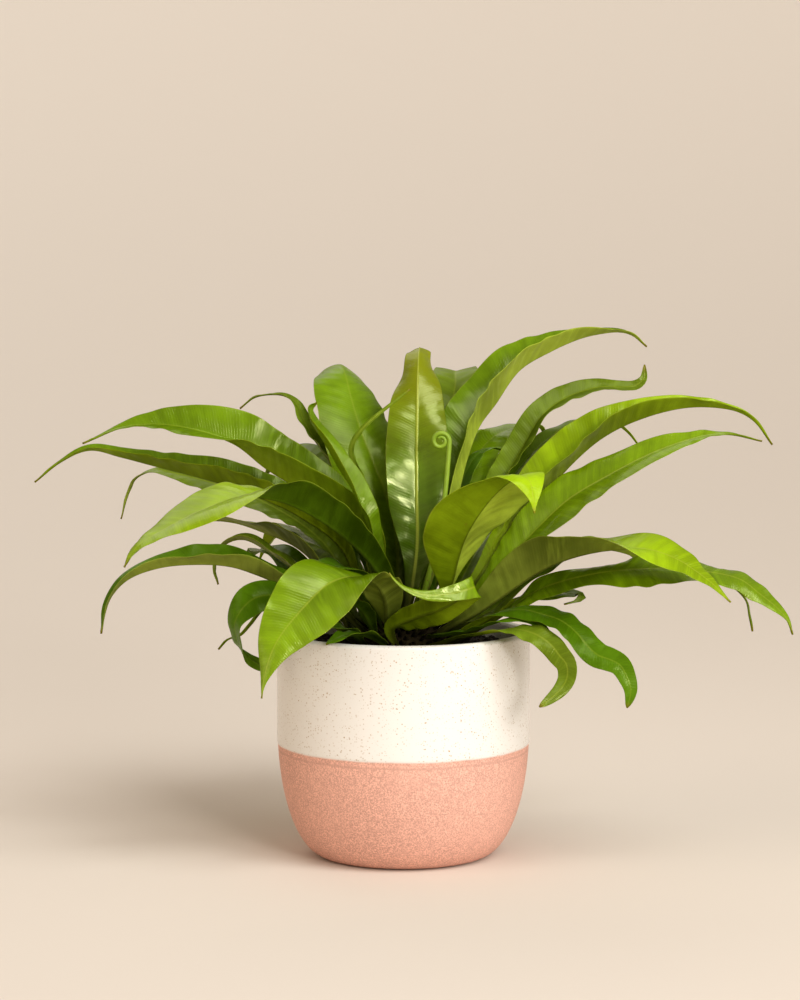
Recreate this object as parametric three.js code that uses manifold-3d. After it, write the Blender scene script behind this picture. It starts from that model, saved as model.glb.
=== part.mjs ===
// A potted bird's nest fern: a two-tone stoneware pot filled with soil, the fern's short crown, and the
// rosette of strap-shaped fronds that grows from it, with one young frond still coiled.
// Millimetres, +Z up. The origin is the centre of the pot's flat base, and the front is towards -Y.
import * as THREE from "three";
import { mergeVertices } from "three/addons/utils/BufferGeometryUtils.js";
import Module from "manifold-3d";

const wasm = await Module();
wasm.setup();

// The pot: a straight glazed wall over a rounded bowl that ends in a small flat foot.
const POT = {
  radius: 75,
  height: 134,
  footRadius: 47,
  bowlHeight: 75,
  wall: 5.5,
  floor: 7,
  lipRadius: 2.4,
  sides: 48,
};
const GAP = 0.35; // clearance between pieces that rest in each other
const SLOT_GAP = 0.7; // and round a stalk's root in the crown

// The soil fills the pot to a little under its lip, and rises slightly to the crown.
const SOIL = { level: 124, mound: 2.5, roughness: 0.9, rings: 5 };

// The crown: a short upright stock that stands in a round hole in the soil. The fronds leave it in rings.
const CROWN = { radius: 35, bottom: 104, top: 140, drop: 15, sides: 28 };
const RING_RADIUS = [8.5, 16.5, 24.5, 31.5];
const ROOT_DEPTH = 6; // how far a stalk is sunk in the crown

// What every frond shares.
const BLADE = {
  thickness: 0.8,
  rib: 1.5,
  stalkHalfWidth: 2.4,
  stalkThickness: 2.6,
  tipHalfWidth: 0.45,
  stationSpacing: 13,
  narrow: 24, // at this width or under, a blade has one facet a side
};

// The fronds. ring and at (degrees from +X) place the root on the crown, and through is the midrib's way
// from there. width is the blade's full width, widest where along it that is, base how slowly the stalk
// broadens, and point how drawn-out the tip is. left and right are the angles, evenly spaced from root to
// tip, that the two sides of the blade rise above the level. wave is the height and the number of the
// waves along each edge. heading is the way that the frond leaves, where its own plan doesn't give it.
const FRONDS = [
  // left side, from the top down
  {
    name: "frond_left_high", ring: 1, at: 178, width: 47, widest: 0.5, point: 1.5, heading: 180,
    through: [
      [-21, -1, 188], [-44, 0, 208], [-62, 3, 217], [-82, 6, 229], [-100, 7, 243], [-122, 7, 251],
      [-144, 8, 254.5], [-166, 8, 253], [-190, 7, 244],
    ],
    left: [40, 52, 38, -8, 0], right: [40, 45, 74, 76, 40], wave: [1, 2],
  },
  {
    name: "frond_left_long", ring: 2, at: 163, width: 34, widest: 0.45, point: 1.5, heading: 172,
    through: [
      [-35, 10, 178], [-62, 18, 199], [-98, 28, 214], [-122, 34, 221], [-147, 39, 227], [-171, 43, 233],
      [-190, 45, 237], [-208, 46, 230], [-224, 47, 218],
    ],
    left: [40, 50, 45, 33, 25], right: [40, 55, 60, 50, 40], wave: [0.8, 3],
  },
  {
    name: "frond_left_back", ring: 2, at: 141, width: 26, widest: 0.5, point: 1.5,
    through: [
      [-50, 50, 181], [-95, 78, 207], [-120, 90, 214], [-142, 98, 219], [-156, 102, 221],
      [-168, 104, 216], [-174, 106, 204], [-178, 107, 190],
    ],
    left: [30, 10, -10, -20, 0], right: [30, 40, 40, 40, 0], wave: [1, 2],
  },
  {
    name: "frond_left_bright", ring: 1, at: 258, width: 51, widest: 0.58, base: 1.3, point: 1.1,
    heading: 220,
    through: [
      [-9, -22, 158], [-20, -27, 177], [-36, -33, 193], [-54, -41, 206], [-72, -54, 215], [-92, -68, 218],
      [-113, -83, 212], [-134, -97, 202], [-146, -105, 195], [-151, -108, 189], [-154, -111, 183],
    ],
    left: [40, 35, 25, -2, -8], right: [40, 30, 17, 6, 0], wave: [2, 2],
  },
  {
    name: "frond_left_low", ring: 2, at: 201, width: 28, widest: 0.5, point: 1.1,
    through: [
      [-43, -12, 151], [-66, -17, 160], [-86, -23, 169], [-100, -28, 174], [-117, -34, 176],
      [-140, -42, 175], [-158, -50, 169], [-167, -54, 160], [-171, -56, 150], [-173, -58, 139],
    ],
    left: [40, 40, 33, 37, 20], right: [40, 50, 55, 36, 10], wave: [1.2, 3],
  },
  {
    name: "frond_left_grey", ring: 2, at: 187, width: 37, widest: 0.5, point: 1.0,
    through: [
      [-42, 5, 160], [-62, 25, 179], [-85, 42, 188], [-104, 53, 193], [-121, 60, 193], [-138, 66, 186],
    ],
    left: [30, 40, 40, 20, 0], right: [30, 20, 0, 0, 0], wave: [1, 2],
  },
  {
    name: "frond_left_tip", ring: 3, at: 168, width: 17, widest: 0.5, point: 1.0,
    through: [
      [-42, 8, 152], [-62, 12, 166], [-80, 18, 178], [-95, 24, 185], [-105, 28, 183], [-112, 31, 176],
      [-114, 31, 167], [-112, 31, 157],
    ],
    left: [30, 30, 20, 20, 0], right: [30, 20, 20, 20, 0], wave: [1, 2],
  },
  {
    name: "frond_left_twisted", ring: 3, at: 204, width: 20, widest: 0.5, point: 0.5, heading: 204,
    through: [
      [-44, -22, 146], [-62, -34, 155], [-77, -40, 159], [-87, -44, 157], [-94, -46, 150],
      [-97, -47, 143], [-96, -47, 136], [-94, -47, 129], [-89, -46, 123], [-83, -45, 119],
      [-78, -44, 117],
    ],
    left: [40, 10, -40, -50, 0, 70], right: [40, 20, 40, 50, 0, -70], wave: [0.6, 2],
  },
  {
    name: "frond_left_sprig", ring: 3, at: 186, width: 5, widest: 0.5, point: 1.0,
    through: [
      [-45, -4, 141], [-67, -7, 150], [-81, -9, 148], [-90, -11, 138], [-96, -12, 132],
      [-103, -13, 130], [-109, -14, 124],
    ],
    left: [20, 20, 20], right: [20, 20, 20], wave: [0.4, 2],
  },
  {
    name: "frond_left_shaded", ring: 3, at: 222, width: 18, widest: 0.55, point: 0.9,
    through: [[-32, -32, 137], [-44, -45, 142], [-57, -56, 142], [-68, -64, 136]],
    left: [30, 10, 0, 0, 0], right: [30, 20, 20, 20, 0], wave: [1.5, 1.5],
  },

  // front
  {
    name: "frond_front_broad", ring: 2, at: 247, width: 44, widest: 0.57, point: 1.5, heading: 205,
    through: [
      [-10, -38, 145], [-11, -49, 158], [-16, -59, 168], [-26, -71, 173], [-41, -83, 171],
      [-57, -93, 157], [-71, -100, 139], [-78, -103, 118], [-79, -105, 109],
    ],
    left: [40, 80, 10, -45, -50, -20], right: [20, -40, 10, 50, 50, 20], wave: [2.5, 1.5],
  },
  {
    name: "frond_front_folded", ring: 3, at: 263, width: 17, widest: 0.3, point: 1.3,
    heading: [0, 0, 0, -180, -180],
    through: [
      [-6, -42, 140], [8, -52, 148], [21, -59, 153], [32, -65, 160], [39, -71, 166], [40, -77, 168],
      [35, -83, 167], [24, -87, 165], [12, -90, 165], [1, -92, 169], [-5, -94, 174], [-8, -95, 178],
    ],
    left: [25, -60, -80, -75, -60, -40], right: [35, 65, 80, 75, 70, 60], wave: [0.5, 2],
  },
  {
    name: "frond_front_cupped", ring: 1, at: 300, width: 70, widest: 0.66, base: 3.5, point: 1.6,
    through: [
      [21, -25, 146], [28, -40, 167], [31, -49, 181], [35, -57, 194], [41, -65, 206], [50, -74, 219],
      [59, -81, 228], [66, -86, 232], [70, -90, 229], [72, -92, 221], [73, -93, 211],
    ],
    left: [30, 22, 12, 8, 0, 0], right: [30, 16, 8, 4, 0, 0], wave: [1.5, 1.5],
  },

  // right side, from the top down
  {
    name: "frond_right_tall", ring: 0, at: 28, width: 47, widest: 0.5, point: 1.3, heading: 35,
    through: [
      [23, 12, 180], [31, 18, 205], [38, 26, 232], [46, 36, 252], [56, 45, 265], [71, 56, 285],
      [90, 66, 296], [109, 74, 304], [122, 79, 307], [134, 83, 308], [142, 85, 306], [151, 87, 299],
    ],
    left: [40, 50, 52, 38, 20], right: [40, 52, 54, 50, 20], wave: [1.2, 4],
  },
  {
    name: "frond_right_curled", ring: 2, at: 38, width: 22, widest: 0.5, point: 0.8, heading: 38,
    through: [
      [36, 22, 176], [50, 31, 202], [62, 39, 221], [72, 46, 237], [83, 54, 255], [93, 60, 264],
      [105, 67, 270], [121, 73, 274], [134, 76, 274], [143, 78, 275], [148, 79, 279], [149, 80, 288],
    ],
    left: [40, 50, 50, 50, 60, 60], right: [40, 45, 40, 28, -10, -40], wave: [0.8, 2],
  },
  {
    name: "frond_right_long", ring: 1, at: 6, width: 42, widest: 0.42, point: 1.6, heading: 7,
    through: [
      [47, 8, 160], [66, 10, 184], [81, 12, 207], [93, 14, 223], [117, 17, 245], [141, 19, 257],
      [171, 22, 264], [198, 24, 262], [210, 25, 256], [221, 25, 242],
    ],
    left: [40, 55, 68, 60, 40], right: [40, 50, 28, 50, 40], wave: [0.8, 3],
  },
  {
    name: "frond_right_bright", ring: 2, at: 352, width: 39, widest: 0.43, point: 1.6, heading: 352,
    through: [
      [46, -11, 157], [64, -15, 179], [82, -18, 199], [97, -19, 213], [120, -20, 227], [143, -21, 239],
      [161, -21, 246], [176, -20, 250], [190, -20, 251], [209, -18, 247],
    ],
    left: [40, 45, 45, 44, 20], right: [30, 0, -30, -20, -10], wave: [1.5, 2.5],
  },
  {
    name: "frond_right_arched", ring: 2, at: 318, width: 42, widest: 0.48, point: 1.1,
    through: [
      [42, -29, 146], [58, -39, 158], [72, -48, 169], [86, -56, 178], [100, -62, 184], [116, -69, 188],
      [138, -76, 189], [154, -81, 184], [165, -85, 177], [174, -88, 170], [183, -90, 161],
    ],
    left: [40, 60, 60, 18, 30, 20], right: [40, 60, 65, 32, -30, -20], wave: [1, 2],
  },
  {
    name: "frond_right_under", ring: 2, at: 336, width: 24, widest: 0.5, point: 1.2,
    through: [
      [52, -16, 147], [72, -20, 167], [93, -25, 179], [113, -30, 184], [135, -33, 186], [152, -35, 185],
      [166, -37, 180],
    ],
    left: [30, 35, 35, 20, 10], right: [30, -10, -20, 20, 10], wave: [1, 2],
  },
  {
    name: "frond_right_wavy", ring: 3, at: 335, width: 28, widest: 0.55, point: 1.0,
    through: [
      [56, -25, 145], [79, -37, 162], [107, -49, 172], [135, -56, 176], [163, -60, 176], [191, -62, 171],
      [202, -62, 163], [213, -62, 154], [219, -62, 147], [222, -62, 139],
    ],
    left: [40, 32, 22, 20, 20, 20], right: [35, -12, -34, -30, -35, -15], wave: [2.5, 3.5],
  },
  {
    name: "frond_right_short", ring: 3, at: 349, width: 14, widest: 0.5, point: 0.7,
    through: [
      [54, -10, 143], [66, -13, 150], [79, -19, 155], [90, -25, 158], [98, -30, 159], [103, -33, 158],
      [100, -36, 155], [93, -38, 153],
    ],
    left: [30, 35, 35, 20, 10], right: [30, 20, 20, -20, -20], wave: [0.6, 2],
  },
  {
    name: "frond_right_drooping", ring: 3, at: 318, width: 18, widest: 0.5, point: 0.6, heading: 320,
    through: [
      [46, -36, 143], [55, -42, 149], [67, -50, 152], [80, -58, 150], [90, -64, 147], [98, -69, 141],
      [104, -73, 134], [110, -76, 129], [116, -78, 127], [122, -80, 124], [126, -81, 117],
      [128, -82, 110], [126, -82, 100],
    ],
    left: [40, 20, 10, 20, 60, 30], right: [40, 20, -20, -20, -50, -30], wave: [0.8, 2],
  },
  {
    name: "frond_rim_drooping", ring: 3, at: 303, width: 14, widest: 0.5, point: 0.6, heading: 315,
    through: [
      [30, -36, 134], [41, -48, 137.5], [52, -56, 140.5], [65, -63, 142], [75, -69, 140],
      [83, -73, 135], [88, -76, 129], [92, -79, 124], [92, -82, 117], [88, -86, 111], [82, -89, 106],
      [76, -91, 102],
    ],
    left: [30, 10, 0, 30, 60, 60], right: [30, 10, 0, -30, -60, -60], wave: [0.5, 2],
  },
  {
    name: "frond_rim_dark", ring: 2, at: 302, width: 8, widest: 0.5, point: 0.8, heading: 318,
    through: [
      [35, -40, 138], [48, -48, 143], [60, -54, 147], [72, -57, 147], [80, -60, 142], [84, -61, 136],
      [88, -63, 131],
    ],
    left: [30, 10, 0, 30, 60], right: [30, 10, 0, -30, -60], wave: [0.4, 2],
  },
  {
    name: "frond_right_tip", ring: 3, at: 2, width: 9, widest: 0.5, point: 1.0,
    through: [
      [60, -2, 146], [100, -12, 164], [140, -22, 171], [172, -30, 170], [188, -35, 165], [198, -38, 156],
      [200, -40, 147], [202, -40, 138],
    ],
    left: [25, 25, 25], right: [25, 25, 25], wave: [0.5, 3],
  },
  {
    name: "frond_right_pale", ring: 1, at: 74, width: 30, widest: 0.62, point: 1.0,
    through: [
      [22, 37, 176], [34, 50, 208], [43, 61, 229], [51, 69, 240], [60, 75, 246], [72, 80, 249],
      [81, 83, 250], [86, 85, 248], [88, 86, 243],
    ],
    left: [30, 20, 10, 10, 20], right: [30, 0, -10, -10, 20], wave: [1, 2],
  },
  {
    name: "frond_right_dark", ring: 1, at: 50, width: 20, widest: 0.65, point: 1.0,
    through: [[27, 23, 180], [31, 30, 206], [39, 37, 227], [46, 42, 236], [54, 46, 239], [61, 50, 237]],
    left: [30, 10, 0, 0, 0], right: [30, 10, 0, 0, 0], wave: [1, 1.5],
  },
  {
    name: "frond_right_behind", ring: 2, at: 55, width: 22, widest: 0.5, point: 1.1,
    through: [
      [42, 44, 178], [58, 53, 206], [72, 60, 226], [86, 66, 240], [106, 72, 251], [126, 77, 254],
      [138, 79, 247], [147, 81, 237],
    ],
    left: [30, 25, 20, 20, 20], right: [30, 25, 20, 20, 20], wave: [1, 2],
  },

  // centre
  {
    name: "frond_centre_left", ring: 0, at: 120, width: 50, widest: 0.52, point: 0.95, heading: 100,
    through: [
      [-4, 25, 182], [-10, 34, 209], [-18, 42, 230], [-25, 49, 247], [-31, 58, 266], [-35, 71, 281],
      [-38, 91, 288], [-40, 112, 285], [-41, 129, 274],
    ],
    left: [30, 10, 0, 10, 0, 10], right: [30, 12, 6, -22, 0, 10], wave: [2.8, 2.5],
  },
  {
    name: "frond_centre", ring: 0, at: 76, width: 37, widest: 0.42, base: 1.8, point: 0.85, heading: 90,
    through: [
      [8, 11, 180], [8, 15, 213], [8, 21, 243], [8.5, 31, 270], [9, 46, 291], [10, 66, 299.5],
      [11, 84, 293], [11, 98, 280],
    ],
    left: [30, 12, 6, -26, -25], right: [30, 12, 6, -22, -25], wave: [1.8, 5],
  },
  {
    name: "frond_centre_back", ring: 1, at: 100, width: 34, widest: 0.6, point: 0.8, heading: 80,
    through: [
      [8, 40, 178], [20, 54, 222], [28, 68, 256], [32, 82, 274], [33, 104, 283], [35, 126, 277],
      [36, 144, 262],
    ],
    left: [30, 15, 10, 8, 20], right: [30, 15, 10, 8, 20], wave: [1.5, 2],
  },
  {
    name: "frond_centre_narrow", ring: 0, at: 218, width: 20, widest: 0.6, base: 2.2, point: 0.8,
    heading: 150,
    through: [
      [-14, -12.5, 176], [-21, -15.5, 198], [-29, -15, 216], [-39, -13, 232], [-47, -10, 246],
      [-54, -6, 257], [-55, -1, 265], [-51, 4, 268],
    ],
    left: [30, 30, 40, 50, 20], right: [30, 30, 40, 40, 20], wave: [0.8, 2],
  },
  {
    name: "frond_back_left_arched", ring: 1, at: 146, width: 20, widest: 0.58, point: 3,
    through: [
      [-26, 36, 186], [-38, 48, 218], [-48, 55, 234], [-56, 61, 245], [-62, 67, 255], [-66, 71, 264],
      [-73, 74, 269], [-82, 76, 270], [-92, 78, 268], [-101, 80, 261],
    ],
    left: [30, 45, 45, 25, 20], right: [30, 25, 5, 25, 20], wave: [0.8, 2],
  },
  {
    name: "frond_centre_tendril", ring: 0, at: 172, width: 3, widest: 0.6, point: 0.9, heading: 90,
    through: [
      [-10, 7, 164], [-15, 14, 196], [-24, 11, 221], [-31, 5, 240], [-25, 2, 252], [-10, 4, 265],
      [4, 6, 276],
    ],
    left: [10, 10, 10], right: [10, 10, 10], wave: [0.3, 2],
  },

  // back, seen only from the sides and from behind
  {
    name: "frond_back_low_1", ring: 3, at: 36, width: 34, widest: 0.5, point: 1.2,
    through: [[54, 38, 144], [84, 60, 164], [114, 82, 173], [142, 102, 168], [160, 116, 155]],
    left: [30, 22, 23, 23, 20], right: [30, 22, 13, 13, 20], wave: [2.5, 2.5],
  },
  {
    name: "frond_back_low_2", ring: 3, at: 62, width: 36, widest: 0.5, point: 1.2,
    through: [[32, 56, 150], [48, 86, 174], [64, 116, 186], [78, 144, 182], [88, 164, 164]],
    left: [30, 22, 13, 13, 20], right: [30, 22, 23, 23, 20], wave: [2.5, 2.5],
  },
  {
    name: "frond_back_low_3", ring: 3, at: 90, width: 36, widest: 0.5, point: 1.2,
    through: [[-2, 60, 148], [-4, 94, 170], [-6, 128, 180], [-8, 158, 172], [-10, 180, 152]],
    left: [30, 27, 23, 18, 20], right: [30, 17, 13, 18, 20], wave: [2.5, 2.5],
  },
  {
    name: "frond_back_low_4", ring: 3, at: 116, width: 34, widest: 0.5, point: 1.2,
    through: [[-30, 56, 150], [-48, 86, 172], [-66, 116, 182], [-82, 142, 176], [-94, 162, 158]],
    left: [30, 22, 23, 23, 20], right: [30, 22, 13, 13, 20], wave: [2.5, 2.5],
  },
  {
    name: "frond_back_low_5", ring: 3, at: 143, width: 32, widest: 0.5, point: 1.2,
    through: [[-50, 42, 146], [-68, 62, 162], [-82, 84, 170], [-92, 104, 170], [-100, 122, 161]],
    left: [30, 22, 18, 18, 20], right: [30, 22, 18, 18, 20], wave: [2.5, 2.5],
  },
  {
    name: "frond_back_high_1", ring: 2, at: 72, width: 34, widest: 0.5, point: 1.3,
    through: [
      [22, 58, 180], [36, 86, 214], [50, 114, 234], [64, 142, 237], [77, 168, 225], [86, 186, 205],
    ],
    left: [30, 25, 20, 20, 20], right: [30, 25, 20, 20, 20], wave: [2.5, 2.5],
  },
  {
    name: "frond_back_high_2", ring: 2, at: 96, width: 35, widest: 0.5, point: 1.3,
    through: [
      [-3, 54, 188], [-6, 84, 220], [-8, 116, 236], [-10, 148, 234], [-12, 176, 218], [-14, 192, 198],
    ],
    left: [30, 25, 20, 20, 20], right: [30, 25, 20, 20, 20], wave: [2.5, 2.5],
  },
  {
    name: "frond_back_high_3", ring: 2, at: 121, width: 33, widest: 0.5, point: 1.3,
    through: [[-28, 50, 186], [-46, 77, 214], [-63, 105, 230], [-79, 133, 228], [-90, 157, 212]],
    left: [30, 25, 20, 20, 20], right: [30, 25, 20, 20, 20], wave: [2.5, 2.5],
  },

  // low and dark, between the front fronds
  {
    name: "frond_front_low", ring: 3, at: 252, width: 17, widest: 0.55, point: 0.9,
    through: [[-17, -44, 134], [-26, -56, 138], [-36, -64, 138], [-44, -69, 134.5]],
    left: [30, 10, 10, 10, 0], right: [30, 20, 20, 10, 0], wave: [1.2, 1.5],
  },
  {
    name: "frond_front_shaded", ring: 2, at: 226, width: 21, widest: 0.6, point: 0.9,
    through: [[-24, -29, 148], [-34, -41, 157], [-43, -52, 160], [-53, -61, 157]],
    left: [30, 15, 10, 10, 0], right: [30, 20, 20, 20, 0], wave: [1.2, 1.5],
  },
  {
    name: "frond_left_inner", ring: 1, at: 222, width: 27, widest: 0.6, point: 0.9,
    through: [[-19, -18, 152], [-27, -26, 166], [-36, -34, 174], [-46, -42, 175], [-55, -50, 170]],
    left: [30, 10, 5, 5, 0], right: [30, 20, 20, 20, 0], wave: [1.2, 1.5],
  },
];

// The one young frond: a round stalk that ends in a flat coil.
const CROZIER = {
  ring: 0,
  at: 330,
  through: [[17, -10, 176], [24, -8, 212], [27, -6, 244]],
  stalkRadius: 1.7,
  coilRadius: 5.2,
  coilTurns: 1.35,
  endRadius: 1.1,
  coilSteps: 18,
};

const COLOUR = {
  pot: 0xe9dfce,
  soil: 0x1d140c,
  crown: 0x3a2f1a,
  frond: 0x5c8a12,
  youngFrond: 0x86a82a,
};

const radians = THREE.MathUtils.degToRad;

// A material with the finish of one piece.
function finish(color, roughness) {
  return new THREE.MeshStandardMaterial({ color, roughness, metalness: 0 });
}

// A solid of manifold-3d from a closed geometry.
function solidFrom(geometry) {
  const bare = geometry.clone();
  bare.deleteAttribute("normal");
  bare.deleteAttribute("uv");
  const merged = mergeVertices(bare, 1e-4);
  return new wasm.Manifold(
    new wasm.Mesh({
      numProp: 3,
      vertProperties: merged.attributes.position.array,
      triVerts: new Uint32Array(merged.index.array),
    }),
  );
}

// A geometry from a solid of manifold-3d.
function geometryFrom(solid) {
  const made = solid.getMesh();
  const geometry = new THREE.BufferGeometry();
  geometry.setAttribute("position", new THREE.BufferAttribute(made.vertProperties, 3));
  geometry.setIndex(new THREE.BufferAttribute(made.triVerts, 1));
  return geometry;
}

// A solid of revolution about Z, from points [radius, height] that run anticlockwise round the section.
function turned(profile, sides) {
  const points = profile.map(([radius, height]) => new THREE.Vector2(radius, height));
  const geometry = new THREE.LatheGeometry(points, sides);
  geometry.rotateX(Math.PI / 2);
  return geometry;
}

// A closed skin over rows of points. Each row has as many points on its upper side as on its under side,
// and both sides are split into triangles alike.
function skinned(rows) {
  const across = rows[0].upper.length;
  const points = rows.flatMap(({ upper, under }) => [...upper, ...under]);
  const positions = points.flatMap((p) => [p.x, p.y, p.z]);
  const upper = (i, j) => i * 2 * across + j;
  const under = (i, j) => upper(i, j) + across;
  const faces = [];
  const quad = (a, b, c, d) => faces.push(a, b, c, a, c, d);
  for (let i = 0; i + 1 < rows.length; i++) {
    for (let j = 0; j + 1 < across; j++) {
      quad(upper(i, j), upper(i + 1, j), upper(i + 1, j + 1), upper(i, j + 1));
      faces.push(under(i, j), under(i + 1, j + 1), under(i + 1, j));
      faces.push(under(i, j), under(i, j + 1), under(i + 1, j + 1));
    }
    quad(upper(i, 0), under(i, 0), under(i + 1, 0), upper(i + 1, 0));
    quad(upper(i, across - 1), upper(i + 1, across - 1), under(i + 1, across - 1), under(i, across - 1));
  }
  const last = rows.length - 1;
  for (let j = 0; j + 1 < across; j++) {
    quad(upper(0, j), upper(0, j + 1), under(0, j + 1), under(0, j));
    quad(upper(last, j + 1), upper(last, j), under(last, j), under(last, j + 1));
  }
  const geometry = new THREE.BufferGeometry();
  geometry.setAttribute("position", new THREE.Float32BufferAttribute(positions, 3));
  geometry.setIndex(faces);
  return geometry;
}

// The value at u of numbers that are evenly spaced from 0 to 1, with smooth steps between them.
function keyed(values, u) {
  const place = u * (values.length - 1);
  const low = Math.min(Math.floor(place), values.length - 2);
  const share = THREE.MathUtils.smoothstep(place - low, 0, 1);
  return THREE.MathUtils.lerp(values[low], values[low + 1], share);
}

function crownHeight(radius) {
  return CROWN.top - CROWN.drop * (radius / CROWN.radius) ** 2;
}

// The midrib of a frond, from its root inside the crown to its tip.
function midrib({ ring, at, through }) {
  const radius = RING_RADIUS[ring];
  const way = through.map((p) => new THREE.Vector3(...p));
  const exit = new THREE.Vector3(
    radius * Math.cos(radians(at)),
    radius * Math.sin(radians(at)),
    crownHeight(radius),
  );
  const root = exit.clone().addScaledVector(way[0].clone().sub(exit).normalize(), -ROOT_DEPTH);
  return new THREE.CatmullRomCurve3([root, exit, ...way]);
}

// Where the frond heads in plan at u, in degrees.
function headingAt({ heading, at, through }, u) {
  if (Array.isArray(heading)) return keyed(heading, u);
  if (heading !== undefined) return heading;
  const [x, y] = through[through.length - 2];
  const root = new THREE.Vector2(Math.cos(radians(at)), Math.sin(radians(at)));
  root.multiplyScalar(RING_RADIUS[2]);
  return THREE.MathUtils.radToDeg(Math.atan2(y - root.y, x - root.x));
}

// The frame of a blade at u: along its midrib, level across to its left, and up.
function bladeFrame(frond, curve, u) {
  const heading = radians(headingAt(frond, u));
  const along = curve.getTangentAt(u);
  const across = new THREE.Vector3(-Math.sin(heading), Math.cos(heading), 0);
  across.addScaledVector(along, -across.dot(along)).normalize();
  return { origin: curve.getPointAt(u), along, across, up: along.clone().cross(across) };
}

// Half the width of a blade at u: a narrow stalk, a broad blade and a drawn-out tip.
function halfWidth({ width, widest, base = 1.5, point }, u) {
  const quarter = Math.PI / 2;
  const swell =
    u < widest
      ? Math.sin((quarter * u) / widest) ** base
      : Math.cos((quarter * (u - widest)) / (1 - widest)) ** point;
  return Math.hypot(BLADE.stalkHalfWidth * (1 - u), (width / 2) * swell) + BLADE.tipHalfWidth * u;
}

// A point in the plane across a blade: so far out along a side that rises at an angle, and so far up
// from it.
function sidePoint({ origin, across, up }, side, angle, out, lift) {
  const [c, s] = [Math.cos(angle), Math.sin(angle)];
  return origin
    .clone()
    .addScaledVector(across, side * (out * c - lift * s))
    .addScaledVector(up, out * s + lift * c);
}

// One row of points across a blade, at u along it.
function bladeRow(frond, order, curve, u) {
  const frame = bladeFrame(frond, curve, u);
  const half = halfWidth(frond, u);
  const left = radians(keyed(frond.left, u));
  const right = radians(keyed(frond.right, u));
  const tilt = (left - right) / 2;
  const stalk = Math.exp(-u / 0.08);
  const thick = (blade) => blade + (BLADE.stalkThickness - blade) * stalk;
  const columns = frond.width <= BLADE.narrow ? [-1, 0, 1] : [-1, -0.5, 0, 0.5, 1];
  const [waveHeight, waves] = frond.wave;
  const row = { upper: [], under: [] };
  for (const v of columns) {
    const side = Math.sign(v) || 1;
    const phase = order * 0.618 + (side > 0 ? 0.37 : 0);
    const swell = waveHeight * v ** 2 * Math.sqrt(Math.sin(Math.PI * u));
    const wave = swell * Math.sin(2 * Math.PI * (waves * u + phase));
    const angle = v === 0 ? tilt : side > 0 ? left : right;
    const thickness = thick(v === 0 ? BLADE.rib : BLADE.thickness);
    row.upper.push(sidePoint(frame, side, angle, Math.abs(v) * half, wave));
    row.under.push(sidePoint(frame, side, angle, Math.abs(v) * half, wave - thickness));
  }
  return row;
}

function frondGeometry(frond, order) {
  const curve = midrib(frond);
  const stations = THREE.MathUtils.clamp(Math.round(curve.getLength() / BLADE.stationSpacing), 8, 18);
  const rows = Array.from({ length: stations + 1 }, (_, i) => bladeRow(frond, order, curve, i / stations));
  return skinned(rows);
}

// The coiled young frond: an eight-sided stalk that thins along a flat spiral.
function crozierGeometry() {
  const { stalkRadius, endRadius, coilRadius, coilTurns, coilSteps, through } = CROZIER;
  const stalk = midrib(CROZIER);
  const top = new THREE.Vector3(...through[through.length - 1]);
  const hub = top.clone().add(new THREE.Vector3(-coilRadius, 0, 2));
  const centres = [];
  const stalkSteps = 8;
  for (let i = 0; i < stalkSteps; i++) centres.push(stalk.getPointAt(i / stalkSteps));
  for (let i = 0; i <= coilSteps; i++) {
    const turn = (2 * Math.PI * coilTurns * i) / coilSteps;
    const reach = coilRadius * (1 - (0.62 * i) / coilSteps);
    centres.push(new THREE.Vector3(hub.x + reach * Math.cos(turn), hub.y, hub.z + reach * Math.sin(turn)));
  }
  const depth = new THREE.Vector3(0, 1, 0);
  const rows = centres.map((centre, i) => {
    const ahead = centres[Math.min(i + 1, centres.length - 1)];
    const behind = centres[Math.max(i - 1, 0)];
    const along = ahead.clone().sub(behind).normalize();
    const across = depth.clone().addScaledVector(along, -depth.dot(along)).normalize();
    const up = along.clone().cross(across);
    const radius = THREE.MathUtils.lerp(stalkRadius, endRadius, i / (centres.length - 1));
    const corner = (degrees) =>
      centre
        .clone()
        .addScaledVector(across, radius * Math.cos(radians(degrees)))
        .addScaledVector(up, radius * Math.sin(radians(degrees)));
    return {
      upper: [157.5, 112.5, 67.5, 22.5].map(corner),
      under: [202.5, 247.5, 292.5, 337.5].map(corner),
    };
  });
  return skinned(rows);
}

// The radius of the pot's outside at a height.
function potRadius(height) {
  const rise = Math.min(height / POT.bowlHeight, 1);
  return POT.footRadius + (POT.radius - POT.footRadius) * Math.sqrt(1 - (1 - rise) ** 2);
}

// The radius of the pot's inside at a height.
function potInside(height) {
  const rise = Math.min((height - POT.floor) / (POT.bowlHeight - POT.floor), 1);
  const foot = POT.footRadius - POT.wall;
  return foot + (POT.radius - POT.wall - foot) * Math.sqrt(1 - (1 - rise) ** 2);
}

function potGeometry() {
  const steps = 7;
  const outside = Array.from({ length: steps + 1 }, (_, i) => {
    const height = POT.bowlHeight * (1 - Math.cos((Math.PI / 2) * (i / steps)));
    return [potRadius(height), height];
  });
  const lip = [0, 45, 90, 135, 180].map((degrees) => [
    POT.radius - POT.wall / 2 + (POT.wall / 2) * Math.cos(radians(degrees)),
    POT.height - POT.lipRadius + POT.lipRadius * Math.sin(radians(degrees)),
  ]);
  const inside = Array.from({ length: steps }, (_, i) => {
    const climb = 1 - Math.sin((Math.PI / 2) * (i / (steps - 1)));
    const height = POT.floor + (POT.bowlHeight - POT.floor) * climb;
    return [potInside(height), height];
  });
  return turned([[0, 0], ...outside, ...lip, ...inside, [0, POT.floor]], POT.sides);
}

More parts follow.
